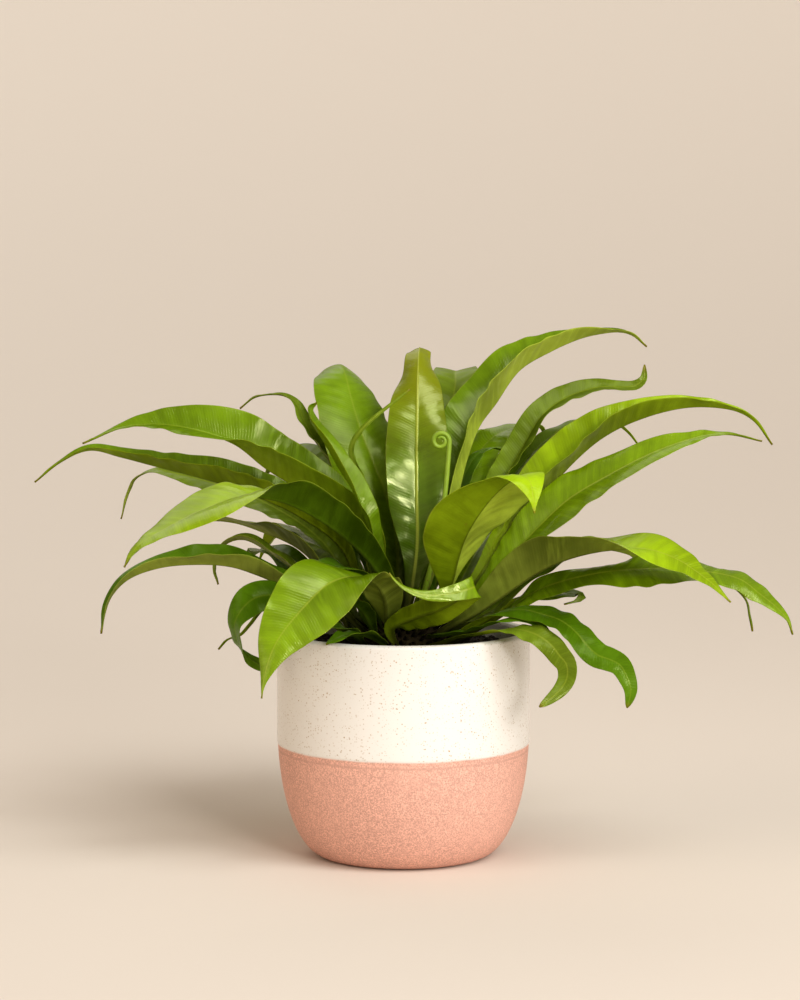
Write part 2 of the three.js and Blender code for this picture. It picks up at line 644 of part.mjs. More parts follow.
// The soil, with a slightly uneven top and a round hole for the crown.
function soilGeometry() {
  const steps = 5;
  const bottom = POT.floor + GAP;
  const wall = Array.from({ length: steps + 1 }, (_, i) => {
    const height = bottom + (POT.bowlHeight - bottom) * (1 - Math.cos((Math.PI / 2) * (i / steps)));
    return [potInside(Math.max(height - GAP, POT.floor)) - GAP, height];
  });
  const rim = POT.radius - POT.wall - GAP;
  const hole = CROWN.radius + GAP;
  const top = Array.from({ length: SOIL.rings + 1 }, (_, i) => {
    const radius = THREE.MathUtils.lerp(rim, hole, i / SOIL.rings);
    return [radius, SOIL.level + SOIL.mound * (i / SOIL.rings)];
  });
  const profile = [[0, bottom], ...wall, ...top, [hole, CROWN.bottom - GAP], [0, CROWN.bottom - GAP]];
  const geometry = turned(profile, 32);
  const position = geometry.attributes.position;
  for (let i = 0; i < position.count; i++) {
    const [x, y, z] = [position.getX(i), position.getY(i), position.getZ(i)];
    const inside = Math.hypot(x, y) < rim - 1 && z >= SOIL.level;
    if (inside) position.setZ(i, z + SOIL.roughness * Math.sin(x * 0.41) * Math.cos(y * 0.37 + 1));
  }
  return geometry;
}

// The crown, with a slot for each stalk's root.
function crownGeometry() {
  const steps = 5;
  const dome = Array.from({ length: steps + 1 }, (_, i) => {
    const radius = CROWN.radius * (1 - i / steps);
    return [radius, crownHeight(radius)];
  });
  let crown = solidFrom(turned([[0, CROWN.bottom], [CROWN.radius, CROWN.bottom], ...dome], CROWN.sides));
  const slotLength = ROOT_DEPTH + 14;
  for (const frond of [...FRONDS, CROZIER]) {
    const curve = midrib(frond);
    const round = frond === CROZIER;
    const frame = bladeFrame(frond, curve, 0);
    const fold = round ? 0 : radians(Math.max(frond.left[0], frond.right[0]));
    const halfAcross = round
      ? CROZIER.stalkRadius
      : BLADE.stalkHalfWidth * Math.cos(fold) + BLADE.stalkThickness * Math.sin(fold);
    const above = round ? CROZIER.stalkRadius : BLADE.stalkHalfWidth * Math.sin(fold);
    const below = round ? CROZIER.stalkRadius : BLADE.stalkThickness + 0.3;
    const slotWidth = 2 * (halfAcross + SLOT_GAP);
    const slot = new THREE.BoxGeometry(slotWidth, slotLength, above + below + 2 * SLOT_GAP);
    slot.translate(0, slotLength / 2 - SLOT_GAP, (above - below) / 2);
    const place = new THREE.Matrix4();
    place.makeBasis(frame.along.clone().cross(frame.up), frame.along, frame.up);
    slot.applyMatrix4(place.setPosition(frame.origin));
    crown = crown.subtract(solidFrom(slot));
  }
  return geometryFrom(crown);
}

const part = new THREE.Group();

// Adds a named piece to the part.
function add(name, geometry, material) {
  const mesh = new THREE.Mesh(geometry, material);
  mesh.name = name;
  part.add(mesh);
}

add("pot", potGeometry(), finish(COLOUR.pot, 0.35));
add("soil", soilGeometry(), finish(COLOUR.soil, 0.95));
add("crown", crownGeometry(), finish(COLOUR.crown, 0.85));
FRONDS.forEach((frond, order) => add(frond.name, frondGeometry(frond, order), finish(COLOUR.frond, 0.35)));
add("crozier", crozierGeometry(), finish(COLOUR.youngFrond, 0.45));

export default part;
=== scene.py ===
"""A potted bird's nest fern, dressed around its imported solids.

The file is laid out as a Blender add-on and is run as a script. The frame is loaded at the top, one
operator makes each piece or group of like pieces, and main() calls them in order. The forms of the crown,
the fronds and the crozier are in millimetres, which MM turns into metres. Everything else is in metres.
"""

import math
import random

import bmesh
import bpy
import numpy as np
from mathutils import Matrix, Vector, noise


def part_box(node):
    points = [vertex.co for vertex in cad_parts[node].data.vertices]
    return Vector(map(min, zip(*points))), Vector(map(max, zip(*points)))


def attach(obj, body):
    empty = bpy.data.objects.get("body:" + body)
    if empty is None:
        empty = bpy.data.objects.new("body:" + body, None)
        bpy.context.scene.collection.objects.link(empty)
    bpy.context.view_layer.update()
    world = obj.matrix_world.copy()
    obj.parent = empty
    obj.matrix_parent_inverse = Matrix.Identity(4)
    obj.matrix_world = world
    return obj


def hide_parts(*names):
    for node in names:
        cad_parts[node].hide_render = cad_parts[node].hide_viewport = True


bl_info = {
    "name": "Potted fern",
    "version": (1, 0, 0),
    "blender": (4, 5, 0),
    "location": "3D View > Sidebar > Fern",
    "description": "Builds a bird's nest fern in a two-tone stoneware pot",
    "category": "Add Mesh",
}

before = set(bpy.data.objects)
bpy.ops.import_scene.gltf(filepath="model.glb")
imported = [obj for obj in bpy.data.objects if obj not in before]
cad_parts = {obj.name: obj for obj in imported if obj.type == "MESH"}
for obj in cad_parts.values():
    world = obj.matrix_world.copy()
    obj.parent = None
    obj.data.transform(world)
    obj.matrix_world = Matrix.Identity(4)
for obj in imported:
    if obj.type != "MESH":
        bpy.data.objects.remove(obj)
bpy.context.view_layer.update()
POT_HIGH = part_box("pot")[1]
SOIL_LOW, SOIL_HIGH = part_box("soil")
CROWN_LOW, CROWN_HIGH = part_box("crown")

MM = 0.001
BODY = "root"

# How closely the pot, the soil, the crown, the crozier and the floor are divided.
POT_SIDES = 160
BOWL_STEPS = 40
STRAIGHT_STEPS = 24
LIP_STEPS = 16
SOIL_SIDES = 150
SOIL_RINGS = 46
CROWN_SIDES = 110
CROWN_RINGS = 26
CROZIER_SIDES = 14
CROZIER_STALK_STEPS = 60
CROZIER_COIL_STEPS = 90
FLOOR_SIDES = 120
FLOOR_STEPS = 60

# The pot's wall and lip, how far the foot's edge is rounded inwards and upwards, and the end of the glaze:
# the steps in which it thins out, how far its edge wavers, and how soft that edge is.
POT_WALL = 0.0055
LIP_RADIUS = 0.0024
FOOT_ROUNDING = (0.0012, 0.0003)
GLAZE_STEP = 0.0004
GLAZE_WAVER = 0.0006
GLAZE_EDGE = 0.0007

# The soil below its top, as shares of its full radius and heights, and the lumps on top: how close they
# are and how high, with the room that they need under the solid's top, and the margin without crumbs.
SOIL_FLANK = [(1, 0.1), (1, 0.08), (0.93, 0.04)]
SOIL_FOOT_SHARE = 0.62
SOIL_LUMPS = ((90, 0.0016), (330, 0.0008))
LUMP_ROOM = 0.0008
CRUMB_MARGIN = 0.0035

# A scale's outline from its root to its point: how far along, and the share of its full width.
SCALE_OUTLINE = [(0, 0.55), (0.35, 1), (0.7, 0.7), (1, 0.06)]

# The turn from one scale to the next, which spreads them evenly over the crown.
GOLDEN_ANGLE = math.pi * (3 - math.sqrt(5))

# The draws of the loose crumbs and of the scales start from these.
SOIL_SEED = 11
CROWN_SEED = 23

# How strongly each tone of face shows its midrib, and how glossy it is.
TONES = {
    "young": (0.40, 0.55),
    "bright": (0.36, 0.85),
    "mid": (0.22, 0.46),
    "dark": (0.18, 0.18),
    "grey": (0.25, 0.22),
    "ribbed": (0.85, 1.0),
    "under_olive": (0.5, 0.12),
    "under_dark": (0.5, 0.12),
    "under_grey": (0.5, 0.12),
    "under_pale": (0.5, 0.12),
}

# The underside that goes with each of the record's slots.
USUAL_UNDER = {"bright": "olive", "mid": "olive", "dark": "dark", "grey": "grey"}

# The floor, which is flat as far as FLOOR_FLAT_RADIUS and then rises, the camera's place to the side and
# its sensor in millimetres, the height that the lamps look at, and how far off the far lamps hang.
FLOOR_FLAT_RADIUS = 0.9
FLOOR_RADIUS = 7.0
FLOOR_RISE = 2.1
CAMERA_SIDE = -0.002
SENSOR_WIDTH = 36
LAMP_AIM_HEIGHT = 0.16
FAR_LAMP_DISTANCE = 5

# The light from all round.
SKY_COLOUR = (1.0, 0.895, 0.785, 1)

# The far lights: the direction each comes from, how wide it looks in degrees, and its colour.
FAR_LIGHTS = {
    "key": ((0.34, -0.50, 0.80), 32, (0.92, 0.97, 1.0)),
    "back": ((-0.20, 0.72, 0.66), 40, (1.0, 0.97, 0.92)),
}

# The softboxes: the direction each comes from, its distance and size, how wide it shines in degrees, and
# its colour.
SOFTBOXES = {
    "fill": ((0.77, -0.52, 0.44), 3.2, 2.2, 70, (0.95, 0.98, 1.0)),
    "left": ((-0.82, -0.44, 0.42), 3.2, 2.4, 70, (1.0, 0.90, 0.78)),
    "gloss": ((0.39, -0.87, 0.27), 2.2, 0.50, 60, (1.0, 1.0, 1.0)),
}

# Where the stalks leave the crown, in millimetres: a dome that drops from its top to its edge, and four
# rings on it. A frond's own plan is read from PLAN_RADIUS outwards.
CROWN_TOP = 140
CROWN_DROP = 15
CROWN_RADIUS = 35
RING_RADIUS = [8.5, 16.5, 24.5, 31.5]
PLAN_RADIUS = 24.5
ROOT_DEPTH = 6

# The fronds, in millimetres and degrees. ring and at place the root on the crown, and through is the
# midrib's way from there. width is the blade's full width, widest where along it that is, base how slowly
# the stalk broadens, and point how drawn-out the tip is. left and right are the angles, evenly spaced from
# root to tip, that the two sides rise above the level. wave is the height and the number of the waves
# along each edge. heading is the way that the frond leaves, where its own plan doesn't give it. tone names
# the record's material slot, and the frond's usual colours with it. Some fronds need more: upper, under
# and left_under are the tones of the upper face, of the underside and of its left half where they aren't
# the usual ones, ridge is the share of a full midrib, and stalk is half the width of an unusual stalk.
# The young and bright tones are painted light, and the dark tone and the dark underside are painted shade.
# The pale underside is partly painted sheen.
FRONDS = {
    "frond_left_high": dict(
        ring=1, at=178, width=47, widest=0.5, point=1.5, heading=180,
        through=[
            (-21, -1, 188), (-44, 0, 208), (-62, 3, 217), (-82, 6, 229), (-100, 7, 243), (-122, 7, 251),
            (-144, 8, 254.5), (-166, 8, 253), (-190, 7, 244),
        ],
        left=[40, 52, 38, -8, 0], right=[40, 45, 74, 76, 40], wave=(1, 2), tone="mid",
    ),
    "frond_left_long": dict(
        ring=2, at=163, width=34, widest=0.45, point=1.5, heading=172,
        through=[
            (-35, 10, 178), (-62, 18, 199), (-98, 28, 214), (-122, 34, 221), (-147, 39, 227),
            (-171, 43, 233), (-190, 45, 237), (-208, 46, 230), (-224, 47, 218),
        ],
        left=[40, 50, 45, 33, 25], right=[40, 55, 60, 50, 40], wave=(0.8, 3), tone="mid",
    ),
    "frond_left_back": dict(
        ring=2, at=141, width=26, widest=0.5, point=1.5,
        through=[
            (-50, 50, 181), (-95, 78, 207), (-120, 90, 214), (-142, 98, 219), (-156, 102, 221),
            (-168, 104, 216), (-174, 106, 204), (-178, 107, 190),
        ],
        left=[30, 10, -10, -20, 0], right=[30, 40, 40, 40, 0], wave=(1, 2), tone="grey",
    ),
    "frond_left_bright": dict(
        ring=1, at=258, width=51, widest=0.58, base=1.3, point=1.1, heading=220,
        through=[
            (-9, -22, 158), (-20, -27, 177), (-36, -33, 193), (-54, -41, 206), (-72, -54, 215),
            (-92, -68, 218), (-113, -83, 212), (-134, -97, 202), (-146, -105, 195), (-151, -108, 189),
            (-154, -111, 183),
        ],
        left=[40, 35, 25, -2, -8], right=[40, 30, 17, 6, 0], wave=(2, 2), tone="bright",
        upper="young", under="dark",
    ),
    "frond_left_low": dict(
        ring=2, at=201, width=28, widest=0.5, point=1.1,
        through=[
            (-43, -12, 151), (-66, -17, 160), (-86, -23, 169), (-100, -28, 174), (-117, -34, 176),
            (-140, -42, 175), (-158, -50, 169), (-167, -54, 160), (-171, -56, 150), (-173, -58, 139),
        ],
        left=[40, 40, 33, 37, 20], right=[40, 50, 55, 36, 10], wave=(1.2, 3), tone="dark",
        under="grey",
    ),
    "frond_left_grey": dict(
        ring=2, at=187, width=37, widest=0.5, point=1,
        through=[
            (-42, 5, 160), (-62, 25, 179), (-85, 42, 188), (-104, 53, 193), (-121, 60, 193),
            (-138, 66, 186),
        ],
        left=[30, 40, 40, 20, 0], right=[30, 20, 0, 0, 0], wave=(1, 2), tone="grey",
    ),
    "frond_left_tip": dict(
        ring=3, at=168, width=17, widest=0.5, point=1,
        through=[
            (-42, 8, 152), (-62, 12, 166), (-80, 18, 178), (-95, 24, 185), (-105, 28, 183),
            (-112, 31, 176), (-114, 31, 167), (-112, 31, 157),
        ],
        left=[30, 30, 20, 20, 0], right=[30, 20, 20, 20, 0], wave=(1, 2), tone="grey",
    ),
    "frond_left_twisted": dict(
        ring=3, at=204, width=20, widest=0.5, point=0.5, heading=204,
        through=[
            (-44, -22, 146), (-62, -34, 155), (-77, -40, 159), (-87, -44, 157), (-94, -46, 150),
            (-97, -47, 143), (-96, -47, 136), (-94, -47, 129), (-89, -46, 123), (-83, -45, 119),
            (-78, -44, 117),
        ],
        left=[40, 10, -40, -50, 0, 70], right=[40, 20, 40, 50, 0, -70], wave=(0.6, 2), tone="dark",
    ),
    "frond_left_sprig": dict(
        ring=3, at=186, width=5, widest=0.5, point=1,
        through=[
            (-45, -4, 141), (-67, -7, 150), (-81, -9, 148), (-90, -11, 138), (-96, -12, 132),
            (-103, -13, 130), (-109, -14, 124),
        ],
        left=[20, 20, 20], right=[20, 20, 20], wave=(0.4, 2), tone="bright",
        stalk=1.2,
    ),
    "frond_left_shaded": dict(
        ring=3, at=222, width=18, widest=0.55, point=0.9,
        through=[(-32, -32, 137), (-44, -45, 142), (-57, -56, 142), (-68, -64, 136)],
        left=[30, 10, 0, 0, 0], right=[30, 20, 20, 20, 0], wave=(1.5, 1.5), tone="dark",
    ),
    "frond_front_broad": dict(
        ring=2, at=247, width=44, widest=0.57, point=1.5, heading=205,
        through=[
            (-10, -38, 145), (-11, -49, 158), (-16, -59, 168), (-26, -71, 173), (-41, -83, 171),
            (-57, -93, 157), (-71, -100, 139), (-78, -103, 118), (-79, -105, 109),
        ],
        left=[40, 80, 10, -45, -50, -20], right=[20, -40, 10, 50, 50, 20], wave=(2.5, 1.5),
        tone="bright", under="grey",
    ),
    "frond_front_folded": dict(
        ring=3, at=263, width=17, widest=0.3, point=1.3, heading=[0, 0, 0, -180, -180],
        through=[
            (-6, -42, 140), (8, -52, 148), (21, -59, 153), (32, -65, 160), (39, -71, 166), (40, -77, 168),
            (35, -83, 167), (24, -87, 165), (12, -90, 165), (1, -92, 169), (-5, -94, 174), (-8, -95, 178),
        ],
        left=[25, -60, -80, -75, -60, -40], right=[35, 65, 80, 75, 70, 60], wave=(0.5, 2),
        tone="bright",
    ),
    "frond_front_cupped": dict(
        ring=1, at=300, width=70, widest=0.66, base=3.5, point=1.6,
        through=[
            (21, -25, 146), (28, -40, 167), (31, -49, 181), (35, -57, 194), (41, -65, 206),
            (50, -74, 219), (59, -81, 228), (66, -86, 232), (70, -90, 229), (72, -92, 221), (73, -93, 211),
        ],
        left=[30, 22, 12, 8, 0, 0], right=[30, 16, 8, 4, 0, 0], wave=(1.5, 1.5), tone="bright",
        upper="young", left_under="pale",
    ),
    "frond_right_tall": dict(
        ring=0, at=28, width=47, widest=0.5, point=1.3, heading=35,
        through=[
            (23, 12, 180), (31, 18, 205), (38, 26, 232), (46, 36, 252), (56, 45, 265), (71, 56, 285),
            (90, 66, 296), (109, 74, 304), (122, 79, 307), (134, 83, 308), (142, 85, 306), (151, 87, 299),
        ],
        left=[40, 50, 52, 38, 20], right=[40, 52, 54, 50, 20], wave=(1.2, 4), tone="mid",
        upper="mid", under="pale",
    ),
    "frond_right_curled": dict(
        ring=2, at=38, width=22, widest=0.5, point=0.8, heading=38,
        through=[
            (36, 22, 176), (50, 31, 202), (62, 39, 221), (72, 46, 237), (83, 54, 255), (93, 60, 264),
            (105, 67, 270), (121, 73, 274), (134, 76, 274), (143, 78, 275), (148, 79, 279), (149, 80, 288),
        ],
        left=[40, 50, 50, 50, 60, 60], right=[40, 45, 40, 28, -10, -40], wave=(0.8, 2), tone="mid",
        upper="grey",
    ),
    "frond_right_long": dict(
        ring=1, at=6, width=42, widest=0.42, point=1.6, heading=7,
        through=[
            (47, 8, 160), (66, 10, 184), (81, 12, 207), (93, 14, 223), (117, 17, 245), (141, 19, 257),
            (171, 22, 264), (198, 24, 262), (210, 25, 256), (221, 25, 242),
        ],
        left=[40, 55, 68, 60, 40], right=[40, 50, 28, 50, 40], wave=(0.8, 3), tone="bright",
        upper="young",
    ),
    "frond_right_bright": dict(
        ring=2, at=352, width=39, widest=0.43, point=1.6, heading=352,
        through=[
            (46, -11, 157), (64, -15, 179), (82, -18, 199), (97, -19, 213), (120, -20, 227),
            (143, -21, 239), (161, -21, 246), (176, -20, 250), (190, -20, 251), (209, -18, 247),
        ],
        left=[40, 45, 45, 44, 20], right=[30, 0, -30, -20, -10], wave=(1.5, 2.5), tone="bright",
    ),
    "frond_right_arched": dict(
        ring=2, at=318, width=42, widest=0.48, point=1.1,
        through=[
            (42, -29, 146), (58, -39, 158), (72, -48, 169), (86, -56, 178), (100, -62, 184),
            (116, -69, 188), (138, -76, 189), (154, -81, 184), (165, -85, 177), (174, -88, 170),
            (183, -90, 161),
        ],
        left=[40, 60, 60, 18, 30, 20], right=[40, 60, 65, 32, -30, -20], wave=(1, 2), tone="bright",
        upper="young", under="grey",
    ),
    "frond_right_under": dict(
        ring=2, at=336, width=24, widest=0.5, point=1.2,
        through=[
            (52, -16, 147), (72, -20, 167), (93, -25, 179), (113, -30, 184), (135, -33, 186),
            (152, -35, 185), (166, -37, 180),
        ],
        left=[30, 35, 35, 20, 10], right=[30, -10, -20, 20, 10], wave=(1, 2), tone="grey",
    ),
    "frond_right_wavy": dict(
        ring=3, at=335, width=28, widest=0.55, point=1,
        through=[
            (56, -25, 145), (79, -37, 162), (107, -49, 172), (135, -56, 176), (163, -60, 176),
            (191, -62, 171), (202, -62, 163), (213, -62, 154), (219, -62, 147), (222, -62, 139),
        ],
        left=[40, 32, 22, 20, 20, 20], right=[35, -12, -34, -30, -35, -15], wave=(2.5, 3.5),
        tone="bright",
    ),
    "frond_right_short": dict(
        ring=3, at=349, width=14, widest=0.5, point=0.7,
        through=[
            (54, -10, 143), (66, -13, 150), (79, -19, 155), (90, -25, 158), (98, -30, 159),
            (103, -33, 158), (100, -36, 155), (93, -38, 153),
        ],
        left=[30, 35, 35, 20, 10], right=[30, 20, 20, -20, -20], wave=(0.6, 2), tone="mid",
    ),
    "frond_right_drooping": dict(
        ring=3, at=318, width=18, widest=0.5, point=0.6, heading=320,
        through=[
            (46, -36, 143), (55, -42, 149), (67, -50, 152), (80, -58, 150), (90, -64, 147),
            (98, -69, 141), (104, -73, 134), (110, -76, 129), (116, -78, 127), (122, -80, 124),
            (126, -81, 117), (128, -82, 110), (126, -82, 100),
        ],
        left=[40, 20, 10, 20, 60, 30], right=[40, 20, -20, -20, -50, -30], wave=(0.8, 2),
        tone="mid", upper="dark",
    ),
    "frond_rim_drooping": dict(
        ring=3, at=303, width=14, widest=0.5, point=0.6, heading=315,
        through=[
            (30, -36, 134), (41, -48, 137.5), (52, -56, 140.5), (65, -63, 142), (75, -69, 140),
            (83, -73, 135), (88, -76, 129), (92, -79, 124), (92, -82, 117), (88, -86, 111),
            (82, -89, 106), (76, -91, 102),
        ],
        left=[30, 10, 0, 30, 60, 60], right=[30, 10, 0, -30, -60, -60], wave=(0.5, 2), tone="mid",
        upper="grey",
    ),
    "frond_rim_dark": dict(
        ring=2, at=302, width=8, widest=0.5, point=0.8, heading=318,
        through=[
            (35, -40, 138), (48, -48, 143), (60, -54, 147), (72, -57, 147), (80, -60, 142),
            (84, -61, 136), (88, -63, 131),
        ],
        left=[30, 10, 0, 30, 60], right=[30, 10, 0, -30, -60], wave=(0.4, 2), tone="dark",
    ),
    "frond_right_tip": dict(
        ring=3, at=2, width=9, widest=0.5, point=1,
        through=[
            (60, -2, 146), (100, -12, 164), (140, -22, 171), (172, -30, 170), (188, -35, 165),
            (198, -38, 156), (200, -40, 147), (202, -40, 138),
        ],
        left=[25, 25, 25], right=[25, 25, 25], wave=(0.5, 3), tone="mid",
    ),
    "frond_right_pale": dict(
        ring=1, at=74, width=30, widest=0.62, point=1,
        through=[
            (22, 37, 176), (34, 50, 208), (43, 61, 229), (51, 69, 240), (60, 75, 246), (72, 80, 249),
            (81, 83, 250), (86, 85, 248), (88, 86, 243),
        ],
        left=[30, 20, 10, 10, 20], right=[30, 0, -10, -10, 20], wave=(1, 2), tone="bright",
    ),
    "frond_right_dark": dict(
        ring=1, at=50, width=20, widest=0.65, point=1,
        through=[(27, 23, 180), (31, 30, 206), (39, 37, 227), (46, 42, 236), (54, 46, 239), (61, 50, 237)],
        left=[30, 10, 0, 0, 0], right=[30, 10, 0, 0, 0], wave=(1, 1.5), tone="dark",
    ),
    "frond_right_behind": dict(
        ring=2, at=55, width=22, widest=0.5, point=1.1,
        through=[
            (42, 44, 178), (58, 53, 206), (72, 60, 226), (86, 66, 240), (106, 72, 251), (126, 77, 254),
            (138, 79, 247), (147, 81, 237),
        ],
        left=[30, 25, 20, 20, 20], right=[30, 25, 20, 20, 20], wave=(1, 2), tone="mid",
    ),
    "frond_centre_left": dict(
        ring=0, at=120, width=50, widest=0.52, point=0.95, heading=100,
        through=[
            (-4, 25, 182), (-10, 34, 209), (-18, 42, 230), (-25, 49, 247), (-31, 58, 266), (-35, 71, 281),
            (-38, 91, 288), (-40, 112, 285), (-41, 129, 274),
        ],
        left=[30, 10, 0, 6, -14, 0], right=[30, 12, 6, -26, -44, -20], wave=(2.8, 2.5), tone="mid",
    ),
    "frond_centre": dict(
        ring=0, at=76, width=37, widest=0.42, base=1.8, point=1.2, heading=90,
        through=[
            (8, 11, 180), (8, 15, 213), (8, 21, 243), (8.5, 31, 270), (9, 46, 291), (10, 66, 299.5),
            (11, 84, 293), (11, 98, 280),
        ],
        left=[30, 12, 6, -36, -34], right=[30, 12, 6, -32, -34], wave=(1.8, 5), tone="mid",
        upper="ribbed", ridge=1.3,
    ),
    "frond_centre_back": dict(
        ring=1, at=100, width=34, widest=0.6, point=0.8, heading=80,
        through=[
            (8, 40, 178), (20, 54, 222), (28, 68, 256), (32, 82, 274), (33, 104, 283), (35, 126, 277),
            (36, 144, 262),
        ],
        left=[30, 15, 10, 8, 20], right=[30, 15, 10, 8, 20], wave=(1.5, 2), tone="grey",
    ),
    "frond_centre_narrow": dict(
        ring=0, at=218, width=20, widest=0.6, base=2.2, point=0.8, heading=150,
        through=[
            (-14, -12.5, 176), (-21, -15.5, 198), (-29, -15, 216), (-39, -13, 232), (-47, -10, 246),
            (-54, -6, 257), (-55, -1, 265), (-51, 4, 268),
        ],
        left=[30, 30, 40, 50, 20], right=[30, 30, 40, 40, 20], wave=(0.8, 2), tone="mid",
    ),
    "frond_back_left_arched": dict(
        ring=1, at=146, width=20, widest=0.58, point=3,
        through=[
            (-26, 36, 186), (-38, 48, 218), (-48, 55, 234), (-56, 61, 245), (-62, 67, 255),
            (-66, 71, 264), (-73, 74, 269), (-82, 76, 270), (-92, 78, 268), (-101, 80, 261),
        ],
        left=[30, 45, 45, 25, 20], right=[30, 25, 5, 25, 20], wave=(0.8, 2), tone="grey",
    ),
    "frond_centre_tendril": dict(
        ring=0, at=172, width=3, widest=0.6, point=0.9, heading=90,
        through=[
            (-10, 7, 164), (-15, 14, 196), (-24, 11, 221), (-31, 5, 240), (-25, 2, 252), (-10, 4, 265),
            (4, 6, 276),
        ],
        left=[10, 10, 10], right=[10, 10, 10], wave=(0.3, 2), tone="grey",
        stalk=0.6,
    ),
    "frond_back_low_1": dict(
        ring=3, at=36, width=34, widest=0.5, point=1.2,
        through=[(54, 38, 144), (84, 60, 164), (114, 82, 173), (142, 102, 168), (160, 116, 155)],
        left=[30, 22, 23, 23, 20], right=[30, 22, 13, 13, 20], wave=(2.5, 2.5), tone="mid",
    ),
    "frond_back_low_2": dict(
        ring=3, at=62, width=36, widest=0.5, point=1.2,
        through=[(32, 56, 150), (48, 86, 174), (64, 116, 186), (78, 144, 182), (88, 164, 164)],
        left=[30, 22, 13, 13, 20], right=[30, 22, 23, 23, 20], wave=(2.5, 2.5), tone="mid",
    ),
    "frond_back_low_3": dict(
        ring=3, at=90, width=36, widest=0.5, point=1.2,
        through=[(-2, 60, 148), (-4, 94, 170), (-6, 128, 180), (-8, 158, 172), (-10, 180, 152)],
        left=[30, 27, 23, 18, 20], right=[30, 17, 13, 18, 20], wave=(2.5, 2.5), tone="dark",
    ),
    "frond_back_low_4": dict(
        ring=3, at=116, width=34, widest=0.5, point=1.2,
        through=[(-30, 56, 150), (-48, 86, 172), (-66, 116, 182), (-82, 142, 176), (-94, 162, 158)],
        left=[30, 22, 23, 23, 20], right=[30, 22, 13, 13, 20], wave=(2.5, 2.5), tone="mid",
    ),
    "frond_back_low_5": dict(
        ring=3, at=143, width=32, widest=0.5, point=1.2,
        through=[(-50, 42, 146), (-68, 62, 162), (-82, 84, 170), (-92, 104, 170), (-100, 122, 161)],
        left=[30, 22, 18, 18, 20], right=[30, 22, 18, 18, 20], wave=(2.5, 2.5), tone="dark",
    ),
    "frond_back_high_1": dict(
        ring=2, at=72, width=34, widest=0.5, point=1.3,
        through=[
            (22, 58, 180), (36, 86, 214), (50, 114, 234), (64, 142, 237), (77, 168, 225), (86, 186, 205),
        ],
        left=[30, 25, 20, 20, 20], right=[30, 25, 20, 20, 20], wave=(2.5, 2.5), tone="mid",
    ),
    "frond_back_high_2": dict(
        ring=2, at=96, width=35, widest=0.5, point=1.3,
        through=[
            (-3, 54, 188), (-6, 84, 220), (-8, 116, 236), (-10, 148, 234), (-12, 176, 218),
            (-14, 192, 198),
        ],
        left=[30, 25, 20, 20, 20], right=[30, 25, 20, 20, 20], wave=(2.5, 2.5), tone="bright",
    ),
    "frond_back_high_3": dict(
        ring=2, at=121, width=33, widest=0.5, point=1.3,
        through=[(-28, 50, 186), (-46, 77, 214), (-63, 105, 230), (-79, 133, 228), (-90, 157, 212)],
        left=[30, 25, 20, 20, 20], right=[30, 25, 20, 20, 20], wave=(2.5, 2.5), tone="mid",
    ),
    # The last three fronds are low and dark, between the front fronds. Their dark tone is painted shade over
    # the hollow there.
    "frond_front_low": dict(
        ring=3, at=252, width=17, widest=0.55, point=0.9,
        through=[(-17, -44, 134), (-26, -56, 138), (-36, -64, 138), (-44, -69, 134.5)],
        left=[30, 10, 10, 10, 0], right=[30, 20, 20, 10, 0], wave=(1.2, 1.5), tone="dark",
    ),
    "frond_front_shaded": dict(
        ring=2, at=226, width=21, widest=0.6, point=0.9,
        through=[(-24, -29, 148), (-34, -41, 157), (-43, -52, 160), (-53, -61, 157)],
        left=[30, 15, 10, 10, 0], right=[30, 20, 20, 20, 0], wave=(1.2, 1.5), tone="dark",
    ),
    "frond_left_inner": dict(
        ring=1, at=222, width=27, widest=0.6, point=0.9,
        through=[(-19, -18, 152), (-27, -26, 166), (-36, -34, 174), (-46, -42, 175), (-55, -50, 170)],
        left=[30, 10, 5, 5, 0], right=[30, 20, 20, 20, 0], wave=(1.2, 1.5), tone="dark",
    ),
}

# The form that every blade shares, in millimetres: the usual stalk, what is left at the tip, the midrib and
# the keel that it makes under the blade, both largest at the root, the thin edge, how round the fold is
# inside, and how far apart the columns of points lie.
STALK_HALF_WIDTH = 2.4
TIP_HALF_WIDTH = 0.45
RIB_HALF_WIDTH = 0.45
RIB_BASE_HALF_WIDTH = 1.3
KEEL_DEPTH = 0.45
KEEL_BASE_DEPTH = 1.7
EDGE_WIDTH = 0.35
VALLEY_RADIUS = 1.4
COLUMN_SPACING = 2.3
MOST_COLUMNS = 12

# The same form's shares: how fast the midrib and the keel taper, the columns of points over the midrib as
# shares of its half width, how slowly a stalk usually broadens, how much of the full ridge most fronds
# have, how far each side bulges, and how much of its thickness a blade keeps at the edge.
RIB_TAPER = 1.6
KEEL_TAPER = 3
RIB_COLUMNS = [0.45, 0.85, 1.15, 1.6]
USUAL_BASE = 1.5
USUAL_RIDGE = 0.3
BOW = 0.05
EDGE_SHARE = 0.55

# The waves of a blade: how far the side veins slant for each metre outwards, and the spacing of the low
# waves beside them and of the short waves along the edges, in metres.
VEIN_SLANT = 0.45
CORRUGATION_SPACING = 0.0085
RIPPLE_SPACING = 0.029

# How far the waves shift from one frond to the next and from a blade's right side to its left, and how far
# the material's pattern shifts from one frond to the next.
PHASE_SHIFT = 0.618
LEFT_PHASE = 0.37
PATTERN_SHIFT = 0.173

# How the short waves along an edge wander off their even spacing: how far, over what length in metres, and
# how much the frond's number shifts that.
RIPPLE_WANDERS = ((0.35, 0.011, 2), (0.6, 0.027, 1))

# The young frond that is still coiled, in millimetres: its stalk's way, its two ends' radii and its coil,
# whose middle lies a little above the stalk's end and which grows tighter inwards.
CROZIER = dict(ring=0, at=330, through=[(17, -10, 176), (24, -8, 212), (27, -6, 244)])
CROZIER_STALK_RADIUS = 1.7
CROZIER_END_RADIUS = 1.1
COIL_RADIUS = 5.2
COIL_RISE = 2
COIL_TURNS = 1.35
COIL_TIGHTENING = 0.62


